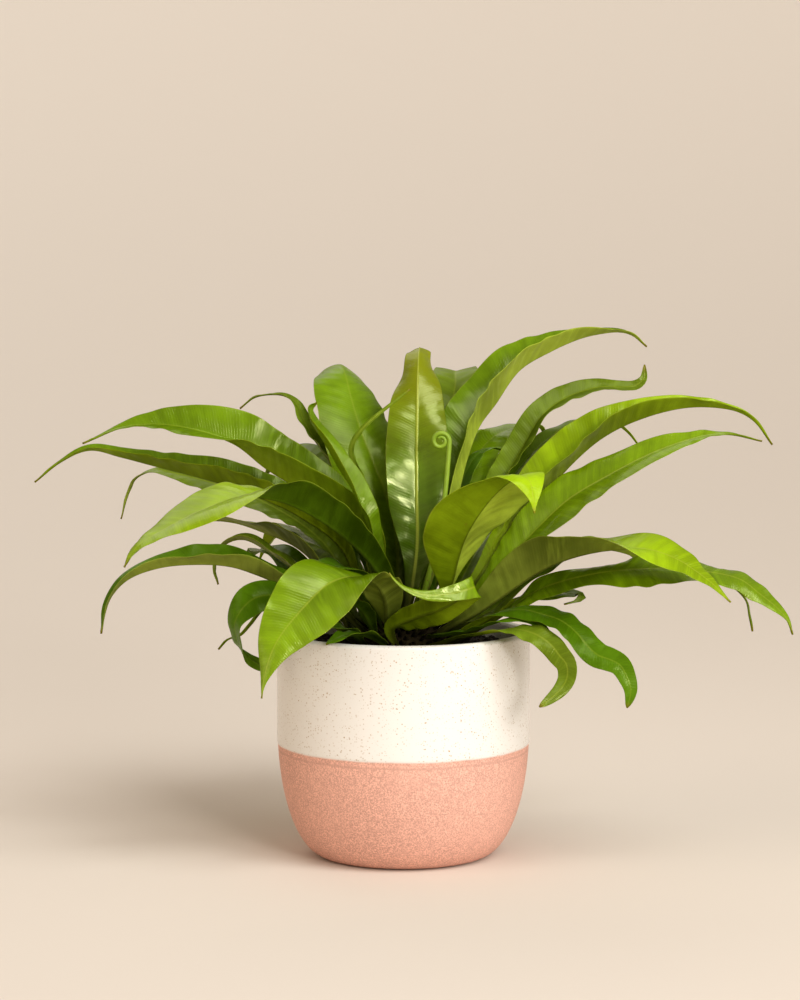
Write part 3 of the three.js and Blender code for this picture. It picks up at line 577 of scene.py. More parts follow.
def from_srgb(red, green, blue):
    """A linear colour from the 0 to 255 numbers of a paint chart."""
    parts = []
    for part in (red, green, blue):
        share = part / 255
        parts.append(share / 12.92 if share <= 0.04045 else ((share + 0.055) / 1.055) ** 2.4)
    return tuple(parts)


def colour_property(name, description, red, green, blue):
    """A colour that the user can change."""
    return bpy.props.FloatVectorProperty(
        name=name,
        description=description,
        subtype="COLOR",
        size=3,
        min=0,
        max=1,
        default=from_srgb(red, green, blue),
    )


def number_property(name, description, default, **kind):
    """A number that the user can change, with its unit or subtype where it has one."""
    return bpy.props.FloatProperty(name=name, description=description, default=default, **kind)


def length_property(name, description, default):
    """A length in metres that the user can change."""
    return number_property(name, description, default, min=0, precision=4, unit="LENGTH")


def count_property(name, description, default):
    """How many there are of something, which the user can change."""
    return bpy.props.IntProperty(name=name, description=description, default=default, min=0)


# Settings


class PotSettings(bpy.types.PropertyGroup):
    """The pot's sizes and colours"""

    radius: length_property("Radius", "Outside radius of the pot's straight wall", POT_HIGH.x)
    height: length_property("Height", "Height of the pot's lip above the floor", POT_HIGH.z)
    foot_radius: length_property("Foot radius", "Radius of the flat foot", 0.047)
    bowl_height: length_property("Bowl height", "Height at which the bowl meets the straight wall", 0.075)
    wall: length_property("Wall", "Thickness of the wall", POT_WALL)
    base: length_property("Base", "Thickness of the base over the foot", 0.007)
    glaze_line: length_property("Glaze line", "Height at which the glaze ends", 0.0672)
    glaze_thickness: length_property("Glaze thickness", "How far the glaze stands out", 0.00035)
    glaze: colour_property("Glaze", "Colour of the glaze", 222, 216, 208)
    clay: colour_property("Clay", "Colour of the bare clay", 215, 165, 146)
    speck: colour_property("Speck", "Colour of the specks in the glaze", 172, 134, 84)


class SoilSettings(bpy.types.PropertyGroup):
    """The potting soil's sizes and colours"""

    level: length_property("Level", "Height of the soil at the pot's wall", 0.124)
    mound: length_property("Mound", "How much higher the soil is at the crown", 0.0025)
    crumb: length_property("Crumb", "Radius of the largest crumbs", 0.0021)
    crumbs: count_property("Crumbs", "How many loose crumbs lie on top", 520)
    colour: colour_property("Colour", "Colour of the damp soil", 52, 40, 30)
    fibre: colour_property("Fibre", "Colour of the bits of fibre in the soil", 120, 96, 66)


class CrownSettings(bpy.types.PropertyGroup):
    """The crown's scales and colours"""

    scales: count_property("Scales", "How many papery scales the crown has", 190)
    scale_length: length_property("Scale length", "Length of the longest scales", 0.013)
    scale_width: length_property("Scale width", "Width of the usual scale", 0.0042)
    scale_thickness: length_property("Scale thickness", "Thickness of a scale", 0.0004)
    fibre: colour_property("Fibre", "Colour of the crown's lighter fibres", 52, 42, 22)
    fibre_dark: colour_property("Dark fibre", "Colour of the crown's darker fibres", 14, 11, 6)


class FrondSettings(bpy.types.PropertyGroup):
    """What all the fronds share, and the colours of their faces"""

    spacing: length_property("Spacing", "Distance between the cross sections of a blade", 0.0018)
    thickness: length_property("Thickness", "Thickness of a blade between its veins", 0.00050)
    ridge: length_property("Ridge", "Height of a full midrib above the upper face", 0.00035)
    vein_spacing: length_property("Vein spacing", "Distance between the side veins", 0.0016)
    corrugation: length_property("Corrugation", "Height of the low waves along the side veins", 0.00026)
    ripple: length_property("Ripple", "Height of the short waves along the edges", 0.0007)
    # The young tone is painted light: a paler copy of the green for the fronds whose upper faces take the
    # strongest light from above.
    young: colour_property("Young", "Upper face of the palest fronds", 150, 176, 0)
    bright: colour_property("Bright", "Upper face of the fronds in full light", 122, 150, 0)
    mid: colour_property("Middle", "Upper face of most fronds", 106, 132, 0)
    # The dark tone is painted shade: a darker copy of the green for the fronds that stand in shade inside
    # the plant.
    dark: colour_property("Dark", "Upper face of the oldest fronds", 82, 114, 0)
    ribbed: colour_property("Ribbed", "Upper face of the frond with the pale midrib", 84, 112, 0)
    # The tip colour is partly the centre frond's own yellow and partly painted glow of light shining through
    # its upper half.
    tip: colour_property("Tip", "Upper half of the frond with the pale midrib", 150, 154, 0)
    grey: colour_property("Grey", "Upper face of the greyish fronds", 112, 130, 28)
    under_olive: colour_property("Olive underside", "Underside of most fronds", 120, 138, 2)
    under_dark: colour_property("Dark underside", "Underside of the fronds in shade", 78, 102, 0)
    under_grey: colour_property("Grey underside", "Underside of the greyish fronds", 128, 138, 52)
    # The pale underside is partly the real paler underside and partly painted sheen and painted glow of
    # light through the blade.
    under_pale: colour_property("Pale underside", "Underside of the young fronds", 170, 184, 66)
    glow: colour_property("Glow", "Light that comes through a blade", 184, 206, 0)
    vein: colour_property("Vein", "Colour of the midribs", 180, 186, 70)
    stalk: colour_property("Stalk", "Colour of the stalks at the crown", 62, 60, 24)
    dry: colour_property("Dry", "Colour of dry tips and small blemishes", 132, 98, 44)
    coil: colour_property("Coil", "Colour of the young coiled frond", 120, 150, 30)
    coil_light: colour_property("Light coil", "Lighter patches of the young coiled frond", 168, 190, 62)


class StageSettings(bpy.types.PropertyGroup):
    """The floor, the camera and the lights"""

    floor: colour_property("Floor", "Colour of the floor and the backdrop", 214, 202, 189)
    camera_distance: length_property("Camera distance", "Distance from the camera to the pot's axis", 1.6)
    camera_height: length_property("Camera height", "Height of the camera", 0.344)
    camera_pitch: number_property(
        "Camera pitch", "How far the camera looks down", math.radians(4.76), subtype="ANGLE"
    )
    camera_lens: number_property("Lens", "Focal length over a 36 mm long side", 97.92, unit="CAMERA")
    key: number_property("Key", "Strength of the key light", 1.38)
    back: number_property("Back", "Strength of the light from behind", 0.35)
    fill: number_property("Fill", "Power of the large softbox on the right", 7.6, unit="POWER")
    left: number_property("Left", "Power of the large softbox on the left", 4.4, unit="POWER")
    gloss: number_property("Gloss", "Power of the small softbox for the leaves' sheen", 2.1, unit="POWER")
    sky: number_property("Sky", "Strength of the light from all round", 0.36)


# Curves


def smoothstep(share):
    """A smooth step from 0 to 1."""
    share = np.clip(share, 0, 1)
    return share * share * (3 - 2 * share)


def unit(vectors):
    """Vectors, one a row, brought to length 1."""
    return vectors / np.linalg.norm(vectors, axis=-1, keepdims=True)


def keyed(values, u):
    """The value at each u of numbers that are evenly spaced from 0 to 1, with smooth steps between them."""
    values = np.asarray(values, float)
    place = u * (len(values) - 1)
    low = np.minimum(place.astype(int), len(values) - 2)
    share = smoothstep(place - low)
    return values[low] * (1 - share) + values[low + 1] * share


def crown_height(radius):
    """The height of the crown's dome, in millimetres."""
    return CROWN_TOP - CROWN_DROP * (radius / CROWN_RADIUS) ** 2


def midrib_points(frond):
    """The points of a midrib, from its root inside the crown to its tip."""
    radius = RING_RADIUS[frond["ring"]]
    at = math.radians(frond["at"])
    leaves = np.array([radius * math.cos(at), radius * math.sin(at), crown_height(radius)])
    way = np.array(frond["through"], float)
    root = leaves - ROOT_DEPTH * unit(way[0] - leaves)
    return np.vstack([root, leaves, way]) * MM


def curve_piece(p0, p1, p2, p3, t):
    """Points on the smooth curve from p1 to p2, where p0 and p3 are its neighbours and t goes to 1."""
    before, between, after = [math.sqrt(np.linalg.norm(b - a)) for a, b in ((p0, p1), (p1, p2), (p2, p3))]
    start = ((p1 - p0) / before - (p2 - p0) / (before + between) + (p2 - p1) / between) * between
    end = ((p2 - p1) / between - (p3 - p1) / (between + after) + (p3 - p2) / after) * between
    bend = 3 * (p2 - p1) - 2 * start - end
    return p1 + t * start + t**2 * bend + t**3 * (2 * (p1 - p2) + start + end)


def smooth_curve(points, steps=40):
    """A smooth curve through points, as close points and the length of the curve up to each of them."""
    padded = np.vstack([2 * points[0] - points[1], points, 2 * points[-1] - points[-2]])
    t = np.linspace(0, 1, steps, endpoint=False)[:, None]
    pieces = [curve_piece(*four, t) for four in zip(padded, padded[1:], padded[2:], padded[3:])]
    close = np.vstack([*pieces, points[-1:]])
    steps_between = np.linalg.norm(np.diff(close, axis=0), axis=1)
    return close, np.concatenate([[0], np.cumsum(steps_between)])


def along_curve(points, count):
    """Evenly spaced points and directions along a smooth curve, and its length."""
    close, lengths = smooth_curve(points)
    wanted = np.linspace(0, lengths[-1], count)
    spine = np.stack([np.interp(wanted, lengths, close[:, axis]) for axis in range(3)], axis=1)
    return spine, unit(np.gradient(spine, axis=0)), lengths[-1]


# Blades


def headings(frond, u):
    """Where a frond heads in plan at each u, in radians."""
    heading = frond.get("heading")
    if heading is None:
        x, y = frond["through"][-2][:2]
        at = math.radians(frond["at"])
        root_x = PLAN_RADIUS * math.cos(at)
        root_y = PLAN_RADIUS * math.sin(at)
        heading = math.degrees(math.atan2(y - root_y, x - root_x))
    if isinstance(heading, list):
        return np.radians(keyed(heading, u))
    return np.full(len(u), math.radians(heading))


def half_widths(frond, u):
    """Half the width of a blade at each u: a narrow stalk, a broad blade and a drawn-out tip."""
    widest = frond["widest"]
    quarter = math.pi / 2
    rising = np.sin(quarter * np.minimum(u / widest, 1)) ** frond.get("base", USUAL_BASE)
    past = np.clip((u - widest) / (1 - widest), 0, 1)
    falling = np.cos(quarter * past) ** frond["point"]
    swell = np.where(u < widest, rising, falling)
    stalk = frond.get("stalk", STALK_HALF_WIDTH)
    half = np.hypot(stalk * (1 - u), frond["width"] / 2 * swell) + TIP_HALF_WIDTH * u
    return half * MM


def blade_columns(frond, u, half):
    """How far each column of points lies from the midrib, for one side of a blade, and half the midrib."""
    rib = (RIB_HALF_WIDTH + RIB_BASE_HALF_WIDTH * (1 - u) ** RIB_TAPER) * MM
    rib = np.minimum(rib, 0.5 * half / RIB_COLUMNS[-1])
    columns = [share * rib for share in RIB_COLUMNS]
    inner = columns[-1]
    outer = half - np.minimum(EDGE_WIDTH * MM, 0.15 * half)
    count = int(np.clip(round(frond["width"] / 2 / COLUMN_SPACING), 2, MOST_COLUMNS))
    for number in range(1, count + 1):
        columns.append(inner + (outer - inner) * number / count)
    columns.append(half)
    return np.stack(columns, axis=1), rib


def blade_relief(frond, order, settings, u, length, out, half, side):
    """How far the upper face of one side stands from its plain form."""
    place = u[:, None]
    distance = place * length
    v = out / half[:, None]
    fading = np.sqrt(np.sin(math.pi * place).clip(0))

    height, count = frond["wave"]
    phase = order * PHASE_SHIFT + (LEFT_PHASE if side > 0 else 0)
    wave = height * MM * v**2 * fading * np.sin(2 * math.pi * (count * place + phase))

    wander = sum(far * np.sin(distance / over + shift * order) for far, over, shift in RIPPLE_WANDERS)
    ripple_turn = 2 * math.pi * (distance / RIPPLE_SPACING + wander + 3.1 * phase)
    ripple = settings.ripple * v**3 * fading * np.sin(ripple_turn)

    # The low waves beside the veins are strong in some places and weak in others, and fade out at the
    # midrib and at the edge.
    slanted = distance - VEIN_SLANT * out
    low_waves = np.sin(2 * math.pi * (slanted / CORRUGATION_SPACING + 0.4 * np.sin(distance / 0.023)))
    strong = 0.55 + 0.45 * np.sin(distance / 0.0062 + 3 * order) * np.sin(distance / 0.017)
    inside = smoothstep(v / 0.3) * smoothstep((1 - v) / 0.15)
    corrugation = settings.corrugation * strong * low_waves * inside

    bow = BOW * half[:, None] * 4 * v * (1 - v) * fading
    return wave + ripple + corrugation + bow


def folded_sheet(spine, across, up, angles, valley, signed, lift):
    """Points at signed distances from the midrib, raised by lift over a sheet whose fold is rounded."""
    directions = {}
    normals = {}
    for side, angle in angles.items():
        cosine = np.cos(angle)[:, None]
        sine = np.sin(angle)[:, None]
        directions[side] = (side * across * cosine + up * sine)[:, None]
        normals[side] = (up * cosine - side * across * sine)[:, None]
    spread = np.hypot(signed, valley)
    to_left = 0.5 * (spread + signed)[..., None]
    to_right = 0.5 * (spread - signed)[..., None]
    share = 0.5 * (1 + signed / spread)[..., None]
    sheet = to_left * directions[1] + to_right * directions[-1]
    facing = unit(share * normals[1] + (1 - share) * normals[-1])
    return spine[:, None] + sheet + facing * lift[..., None]


def blade_lifts(frond, order, settings, u, length, half):
    """Where the closed rings of a blade's points lie: how far from the midrib, and how far off the sheet."""
    out, rib = blade_columns(frond, u, half)
    ridge_height = settings.ridge * frond.get("ridge", USUAL_RIDGE)
    keel = (KEEL_DEPTH + KEEL_BASE_DEPTH * (1 - u) ** KEEL_TAPER)[:, None] * MM
    from_edge = smoothstep((1 - out / half[:, None]) / 0.25)
    thin = settings.thickness * (EDGE_SHARE + (1 - EDGE_SHARE) * from_edge)
    ridge = ridge_height * np.exp(-((out / (0.75 * rib[:, None])) ** 2))
    below = thin + keel * np.exp(-((out / (0.9 * rib[:, None])) ** 2))

    left = blade_relief(frond, order, settings, u, length, out, half, 1)
    right = blade_relief(frond, order, settings, u, length, out, half, -1)
    middle = np.zeros((len(u), 1))
    middle_below = -(settings.thickness + keel)
    upper = np.hstack([-out[:, ::-1], middle, out])
    upper_lift = np.hstack([(right + ridge)[:, ::-1], middle + ridge_height, left + ridge])
    under = np.hstack([out[:, -2::-1], middle, -out[:, :-1]])
    under_lift = np.hstack([(left - below)[:, -2::-1], middle_below, (right - below)[:, :-1]])
    return np.hstack([upper, under]), np.hstack([upper_lift, under_lift]), upper.shape[1]


def blade_rings(frond, order, settings):
    """The closed rings of points along a blade, how many of each are on top, and each point's place."""
    points = midrib_points(frond)
    rough_length = smooth_curve(points)[1][-1]
    count = max(int(rough_length / settings.spacing), 30)
    spine, along, length = along_curve(points, count)
    u = np.linspace(0, 1, count)
    heading = headings(frond, u)
    across = np.stack([-np.sin(heading), np.cos(heading), np.zeros(count)], axis=1)
    across = unit(across - along * np.sum(across * along, axis=1, keepdims=True))
    up = np.cross(along, across)
    half = half_widths(frond, u)
    angles = {1: np.radians(keyed(frond["left"], u)), -1: np.radians(keyed(frond["right"], u))}
    valley = np.minimum(VALLEY_RADIUS * MM, 0.4 * half)[:, None]
    signed, lift, upper_count = blade_lifts(frond, order, settings, u, length, half)
    rings = folded_sheet(spine, across, up, angles, valley, signed, lift)

    everywhere = np.ones_like(signed)
    blade_map = np.stack([(u * length)[:, None] * everywhere + order * PATTERN_SHIFT, signed], axis=-1)
    place_map = np.stack([u[:, None] * everywhere, signed / half[:, None]], axis=-1)
    return rings, upper_count, blade_map, place_map


def ring_faces(count, around):
    """The faces of a closed tube of rings, with a face over each end."""
    start = np.arange(count - 1)[:, None] * around
    here = np.arange(around)[None, :]
    after = (here + 1) % around
    quads = np.stack([start + here, start + around + here, start + around + after, start + after], axis=-1)
    faces = quads.reshape(-1, 4).tolist()
    faces.append(list(range(around)))
    last = (count - 1) * around
    faces.append(list(range(last + around - 1, last - 1, -1)))
    return faces


# Meshes


def mesh_from(name, points, faces):
    """A mesh of points and faces, which has to be sound."""
    mesh = bpy.data.meshes.new(name)
    mesh.from_pydata(np.asarray(points, float).reshape(-1, 3).tolist(), [], faces)
    if mesh.validate():
        raise RuntimeError(f"{name} has faces that Blender had to mend")
    mesh.shade_smooth()
    return mesh


def add_map(mesh, name, values):
    """A texture map from one pair of numbers for each point of a mesh."""
    corners = np.empty(len(mesh.loops), np.int32)
    mesh.loops.foreach_get("vertex_index", corners)
    layer = mesh.uv_layers.new(name=name)
    layer.data.foreach_set("uv", np.asarray(values, np.float32).reshape(-1, 2)[corners].ravel())


def new_piece(name, mesh, node, materials):
    """A piece that stands for a solid and rides with the part's one body."""
    for material in materials:
        mesh.materials.append(material)
    piece = bpy.data.objects.new(name, mesh)
    bpy.context.scene.collection.objects.link(piece)
    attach(piece, BODY)
    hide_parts(node)


def turned_form(profile, sides, from_top=False):
    """A form turned about Z from a profile that starts on the axis, as points and faces.

    The profile is pairs of a radius and a height, which may be a function of x and y where the surface is
    uneven. A profile that also ends on the axis gives a closed form. from_top is for a profile that starts
    at the top, so that its faces look outwards too.
    """
    closed = profile[-1][0] == 0
    rows = profile[1:-1] if closed else profile[1:]
    points = [(0, 0, profile[0][1])]
    for radius, height in rows:
        for step in range(sides):
            turn = 2 * math.pi * step / sides
            x = radius * math.cos(turn)
            y = radius * math.sin(turn)
            points.append((x, y, height(x, y) if callable(height) else height))
    last_row = 1 + (len(rows) - 1) * sides
    faces = []
    for step in range(sides):
        after = (step + 1) % sides
        faces.append((0, 1 + after, 1 + step))
        for low in range(1, last_row, sides):
            high = low + sides
            faces.append((low + step, low + after, high + after, high + step))
        if closed:
            faces.append((last_row + step, last_row + after, len(points)))
    if closed:
        points.append((0, 0, profile[-1][1]))
    if from_top:
        faces = [face[:1] + face[:0:-1] for face in faces]
    return points, faces


def joined(name, parts):
    """One mesh from pairs of points and faces."""
    points = []
    faces = []
    for part_points, part_faces in parts:
        first = len(points)
        points.extend(part_points)
        faces.extend([first + corner for corner in face] for face in part_faces)
    return mesh_from(name, points, faces)


# Materials


def shaded(colour, by, plus=0.0):
    """A colour made lighter or darker."""
    return [min(part * by + plus, 1) for part in colour]


def opaque(colour):
    """A colour with full alpha, where it is a plain colour and not another node's output."""
    if isinstance(colour, bpy.types.NodeSocket):
        return colour
    return (*colour[:3], 1.0)


class Shader:
    """A material's node tree, in which each call adds a node and returns its output."""

    def __init__(self, name):
        self.material = bpy.data.materials.new(name)
        self.material.use_nodes = True
        self.nodes = self.material.node_tree.nodes
        self.links = self.material.node_tree.links
        self.nodes.clear()

    def node(self, kind, output=0, inputs=None, **settings):
        """A node with its settings, and its inputs as numbers, colours or other nodes' outputs."""
        made = self.nodes.new("ShaderNode" + kind)
        for name, value in settings.items():
            setattr(made, name, value)
        for socket, value in (inputs or {}).items():
            if isinstance(value, bpy.types.NodeSocket):
                self.links.new(value, made.inputs[socket])
            else:
                made.inputs[socket].default_value = value
        return made.outputs[output]

    def place(self):
        """The place on the object, in metres."""
        return self.node("TexCoord", output=3)

    def math(self, operation, *values):
        """A sum on numbers."""
        return self.node("Math", inputs=dict(enumerate(values)), operation=operation)

    def times(self, first, second):
        """One number times another."""
        return self.math("MULTIPLY", first, second)

    def blend(self, share, low, high):
        """A number between two numbers, both from other nodes."""
        return self.math("ADD", self.times(share, self.math("SUBTRACT", high, low)), low)

    def mix(self, share, low, high):
        """A colour between two colours."""
        colours = {0: share, 6: opaque(low), 7: opaque(high)}
        return self.node("Mix", output=2, inputs=colours, data_type="RGBA")

    def ramp(self, value, low, high, to_low=0.0, to_high=1.0):
        """A number that goes smoothly from to_low to to_high while value goes from low to high."""
        inputs = {0: value, 1: low, 2: high, 3: to_low, 4: to_high}
        return self.node("MapRange", inputs=inputs, interpolation_type="SMOOTHSTEP")

    def noise(self, vector, scale, detail=2.0, roughness=0.5):
        """A cloudy pattern."""
        inputs = {"Vector": vector, "Scale": scale, "Detail": detail, "Roughness": roughness}
        return self.node("TexNoise", inputs=inputs)

    def specks(self, where, scale, share, radius, softness):
        """Round specks: a share of the cells of a pattern hold one each."""
        inputs = {"Vector": where, "Scale": scale, "Randomness": 1.0}
        cell = self.node("TexVoronoi", inputs=inputs).node
        chance, size, _ = self.axes(cell.outputs["Color"])
        held = self.ramp(chance, 1 - share, 1 - share + 0.01)
        reach = self.times(self.math("ADD", size, 0.35), radius)
        edge = self.math("SUBTRACT", reach, cell.outputs["Distance"])
        return self.times(held, self.ramp(edge, 0.0, softness))

    def axes(self, vector):
        """The three numbers of a vector."""
        split = self.node("SeparateXYZ", inputs={0: vector}).node
        return split.outputs[0], split.outputs[1], split.outputs[2]

    def vector(self, x, y, z=0.0):
        """A vector from three numbers."""
        return self.node("CombineXYZ", inputs={0: x, 1: y, 2: z})

    def bump(self, height, strength, distance):
        """The surface's direction over fine relief."""
        return self.node("Bump", inputs={"Strength": strength, "Distance": distance, "Height": height})

    def thin(self, solid, share, glow):
        """A surface that lets a share of the light through."""
        through = self.node("BsdfTranslucent", inputs={"Color": glow})
        return self.node("MixShader", inputs={0: share, 1: solid, 2: through})

    def finish(self, surface):
        """Joins the surface to the material's output and returns the material."""
        output = self.nodes.new("ShaderNodeOutputMaterial")
        self.links.new(surface, output.inputs["Surface"])
        return self.material


def glaze_colour(shader, where, pot):
    """Warm cream glaze with fine specks in crowds and fewer large ones, its clouds, and the large specks."""
    clouds = shader.noise(where, 22, 3)
    crowd = shader.ramp(shader.noise(where, 95, 2), 0.35, 0.62, 0.25, 1.0)
    small = shader.specks(where, scale=760, share=0.80, radius=0.32, softness=0.12)
    large = shader.specks(where, scale=300, share=0.34, radius=0.145, softness=0.06)
    pale_speck = [0.45 * part + 0.25 * other for part, other in zip(pot.speck, pot.glaze)]
    speck = shader.mix(shader.noise(where, 130, 1), pot.speck, pale_speck)
    colour = shader.mix(clouds, shaded(pot.glaze, 0.96), pot.glaze)
    colour = shader.mix(shader.times(shader.times(small, crowd), 0.70), colour, speck)
    colour = shader.mix(shader.times(large, 0.90), colour, speck)
    return colour, clouds, large


def clay_colour(shader, where, pot, below_glaze):
    """Bare clay with grain, blotches and pits, and a darker band just under the glaze, and its grain."""
    grain = shader.noise(where, 1150, 4, 0.65)
    blotch = shader.noise(where, 210, 4, 0.6)
    cloud = shader.noise(where, 26, 3)
    pits = shader.specks(where, scale=620, share=0.45, radius=0.30, softness=0.14)
    band_foot = shader.ramp(below_glaze, 0.0046, 0.0040)
    band_top = shader.ramp(below_glaze, 0.0026, 0.0034)
    band = shader.times(shader.times(band_foot, band_top), 0.55)
    colour = shader.mix(shader.ramp(grain, 0.38, 0.62), shaded(pot.clay, 0.70), shaded(pot.clay, 1.16))
    colour = shader.mix(shader.ramp(blotch, 0.44, 0.62, 0, 0.30), colour, shaded(pot.clay, 0.72))
    colour = shader.mix(shader.ramp(cloud, 0.35, 0.7, 0, 0.18), colour, shaded(pot.clay, 1.12))
    colour = shader.mix(shader.times(pits, 0.45), colour, shaded(pot.clay, 0.55))
    colour = shader.mix(band, colour, shaded(pot.clay, 0.72))
    return colour, grain


def stoneware_material(pot):
    """Speckled glaze over the upper part, bare mottled clay below."""
    shader = Shader("two_tone_stoneware")
    where = shader.place()
    height = shader.axes(where)[2]
    wavering = shader.times(shader.noise(where, 45, 2), 2 * GLAZE_WAVER)
    height = shader.math("ADD", height, wavering)
    line = pot.glaze_line + GLAZE_WAVER
    glazed = shader.ramp(height, line - GLAZE_EDGE, line + GLAZE_EDGE)
    glaze, clouds, large_specks = glaze_colour(shader, where, pot)
    clay, grain = clay_colour(shader, where, pot, shader.math("SUBTRACT", line, height))

    gloss = shader.ramp(clouds, 0.3, 0.7, 0.16, 0.24)
    dull = shader.ramp(grain, 0.3, 0.7, 0.62, 0.82)
    orange_peel = shader.times(shader.noise(where, 160, 2), 0.35)
    glaze_relief = shader.math("ADD", orange_peel, shader.times(large_specks, -0.25))
    relief = shader.blend(glazed, grain, glaze_relief)
    surface = shader.node(
        "BsdfPrincipled",
        inputs={
            "Base Color": shader.mix(glazed, clay, glaze),
            "Roughness": shader.blend(glazed, dull, gloss),
            "Normal": shader.bump(relief, 0.35, 0.00035),
            "IOR": 1.52,
        },
    )
    return shader.finish(surface)


def soil_material(soil):
    """Damp potting soil: dark crumbs with lighter fibre."""
    shader = Shader("potting_soil")
    where = shader.place()
    grain = shader.noise(where, 420, 5, 0.7)
    lumps = shader.noise(where, 90, 3)
    fibre = shader.specks(where, scale=300, share=0.10, radius=0.35, softness=0.1)
    colour = shader.mix(grain, shaded(soil.colour, 0.35), shaded(soil.colour, 1.5))
    colour = shader.mix(shader.ramp(lumps, 0.5, 0.7, 0, 0.6), colour, shaded(soil.colour, 0.5))
    colour = shader.mix(shader.times(fibre, 0.5), colour, soil.fibre)
    bump = shader.bump(grain, 0.8, 0.001)
    surface = shader.node("BsdfPrincipled", inputs={"Base Color": colour, "Roughness": 0.9, "Normal": bump})
    return shader.finish(surface)


def crown_material(crown, stalk_colour):
    """The fibrous brown stock and its scales."""
    shader = Shader("fibrous_crown")
    where = shader.place()
    x, y, z = shader.axes(where)
    fibre = shader.noise(shader.vector(x, y, shader.times(z, 0.25)), 700, 4, 0.6)
    patches = shader.noise(where, 70, 2)
    colour = shader.mix(fibre, crown.fibre_dark, crown.fibre)
    surface = shader.node(
        "BsdfPrincipled",
        inputs={
            "Base Color": shader.mix(shader.ramp(patches, 0.5, 0.75, 0, 0.6), colour, stalk_colour),
            "Roughness": 0.85,
            "Normal": shader.bump(fibre, 0.7, 0.0008),
            "Specular IOR Level": 0.1,
        },
    )
    return shader.finish(surface)


def leaf_green(shader, slanted, reach, blotches, vein, colour, vein_share):
    """The green of one face: clouds of its own tone and of painted light and shade, streaks of painted sheen
    and shade along the side veins, the veins themselves and blotches.
    """
    # light and deep are a lighter and a darker copy of the face's green: they serve painted light and
    # painted shade, and also the veins and blotches.
    light = shaded(colour, 1.50, 0.010)
    deep = shaded(colour, 0.52)
    clouds = shader.noise(shader.place(), 15, 3, 0.55)
    sheen_and_shade_streaks = shader.noise(shader.vector(shader.times(slanted, 9.0), reach), 26, 3, 0.6)
    # The clouds mix the darker and the lighter copy. They are partly the blade's own uneven tone and partly
    # painted light and painted shade.
    face = shader.mix(shader.ramp(clouds, 0.32, 0.68), deep, light)
    # The streaks along the side veins are painted sheen and painted shade.
    face = shader.mix(shader.ramp(sheen_and_shade_streaks, 0.46, 0.68, 0, 0.46), face, light)
    face = shader.mix(shader.ramp(sheen_and_shade_streaks, 0.50, 0.32, 0, 0.30), face, deep)
    face = shader.mix(shader.times(vein, vein_share), face, light)
    return shader.mix(shader.ramp(blotches, 0.35, 0.7, 0, 0.26), face, deep)


def leaf_material(name, fronds, tone):
    """One face of a frond: its green, tip, edge, midrib, stalk and dry spots, with light let through."""
    shader = Shader(name)
    is_under = tone.startswith("under")
    rib_share, gloss = TONES[tone]
    colour = tuple(getattr(fronds, tone))
    along, across, _ = shader.axes(shader.node("UVMap", uv_map="blade"))
    u, v, _ = shader.axes(shader.node("UVMap", uv_map="place"))
    blade = shader.vector(along, across)
    reach = shader.math("ABSOLUTE", across)

    drift = shader.times(shader.noise(blade, 55, 2), 0.0022)
    slanted = shader.math("SUBTRACT", shader.math("ADD", along, drift), shader.times(reach, VEIN_SLANT))
    vein_turn = shader.times(slanted, 2 * math.pi / fronds.vein_spacing)
    vein = shader.ramp(shader.math("SINE", vein_turn), 0.1, 1.0)
    blotches = shader.noise(blade, 120, 4, 0.6)
    face = leaf_green(shader, slanted, reach, blotches, vein, colour, 0.07 if is_under else 0.12)

    # The centre frond's upper half turns yellow, partly its own colour and partly painted glow of light
    # through it. The other fronds grow a little lighter towards their tips.
    tip = tuple(fronds.tip) if tone == "ribbed" else shaded(colour, 1.38, 0.01)
    tip_share = 0.95 if tone == "ribbed" else 0.3
    face = shader.mix(shader.ramp(u, 0.32, 0.85, 0, tip_share), face, tip)
    edge = shader.ramp(shader.math("ABSOLUTE", v), 0.965, 0.998, 0, 0.34)
    face = shader.mix(edge, face, fronds.vein)
    rib_width = shader.ramp(u, 0.0, 1.0, 0.0016, 0.0005)
    off_rib = shader.ramp(shader.math("DIVIDE", reach, rib_width), 0.35, 0.9)
    rib = shader.times(shader.math("SUBTRACT", 1.0, off_rib), rib_share)
    face = shader.mix(rib, face, fronds.stalk if is_under else fronds.vein)
    face = shader.mix(shader.ramp(u, 0.22, 0.03), face, fronds.stalk)
    face = shader.mix(shader.ramp(u, 0.972, 0.998, 0, 0.55), face, fronds.dry)
    blemish = shader.specks(blade, scale=70, share=0.035, radius=0.11, softness=0.05)
    face = shader.mix(shader.times(blemish, 0.65), face, fronds.dry)

    relief = shader.math("ADD", shader.times(vein, 0.55), shader.times(blotches, 0.5))
    smooth, rough = (0.34, 0.52) if is_under else (0.15, 0.27)
    solid = shader.node(
        "BsdfPrincipled",
        inputs={
            "Base Color": face,
            "Roughness": shader.ramp(blotches, 0.3, 0.7, smooth, rough),
            "Normal": shader.bump(relief, 0.34, 0.00024),
            "Specular IOR Level": gloss,
            "Specular Tint": (1.0, 1.0, 0.55, 1.0),
        },
    )
    return shader.finish(shader.thin(solid, 0.30, shader.mix(0.6, face, fronds.glow)))


def leaf_materials(fronds):
    """The material of each tone of upper face and of underside, made once and found again after that."""
    materials = {}
    for tone in TONES:
        name = f"frond_{tone}_face"
        materials[tone] = bpy.data.materials.get(name) or leaf_material(name, fronds, tone)
    return materials


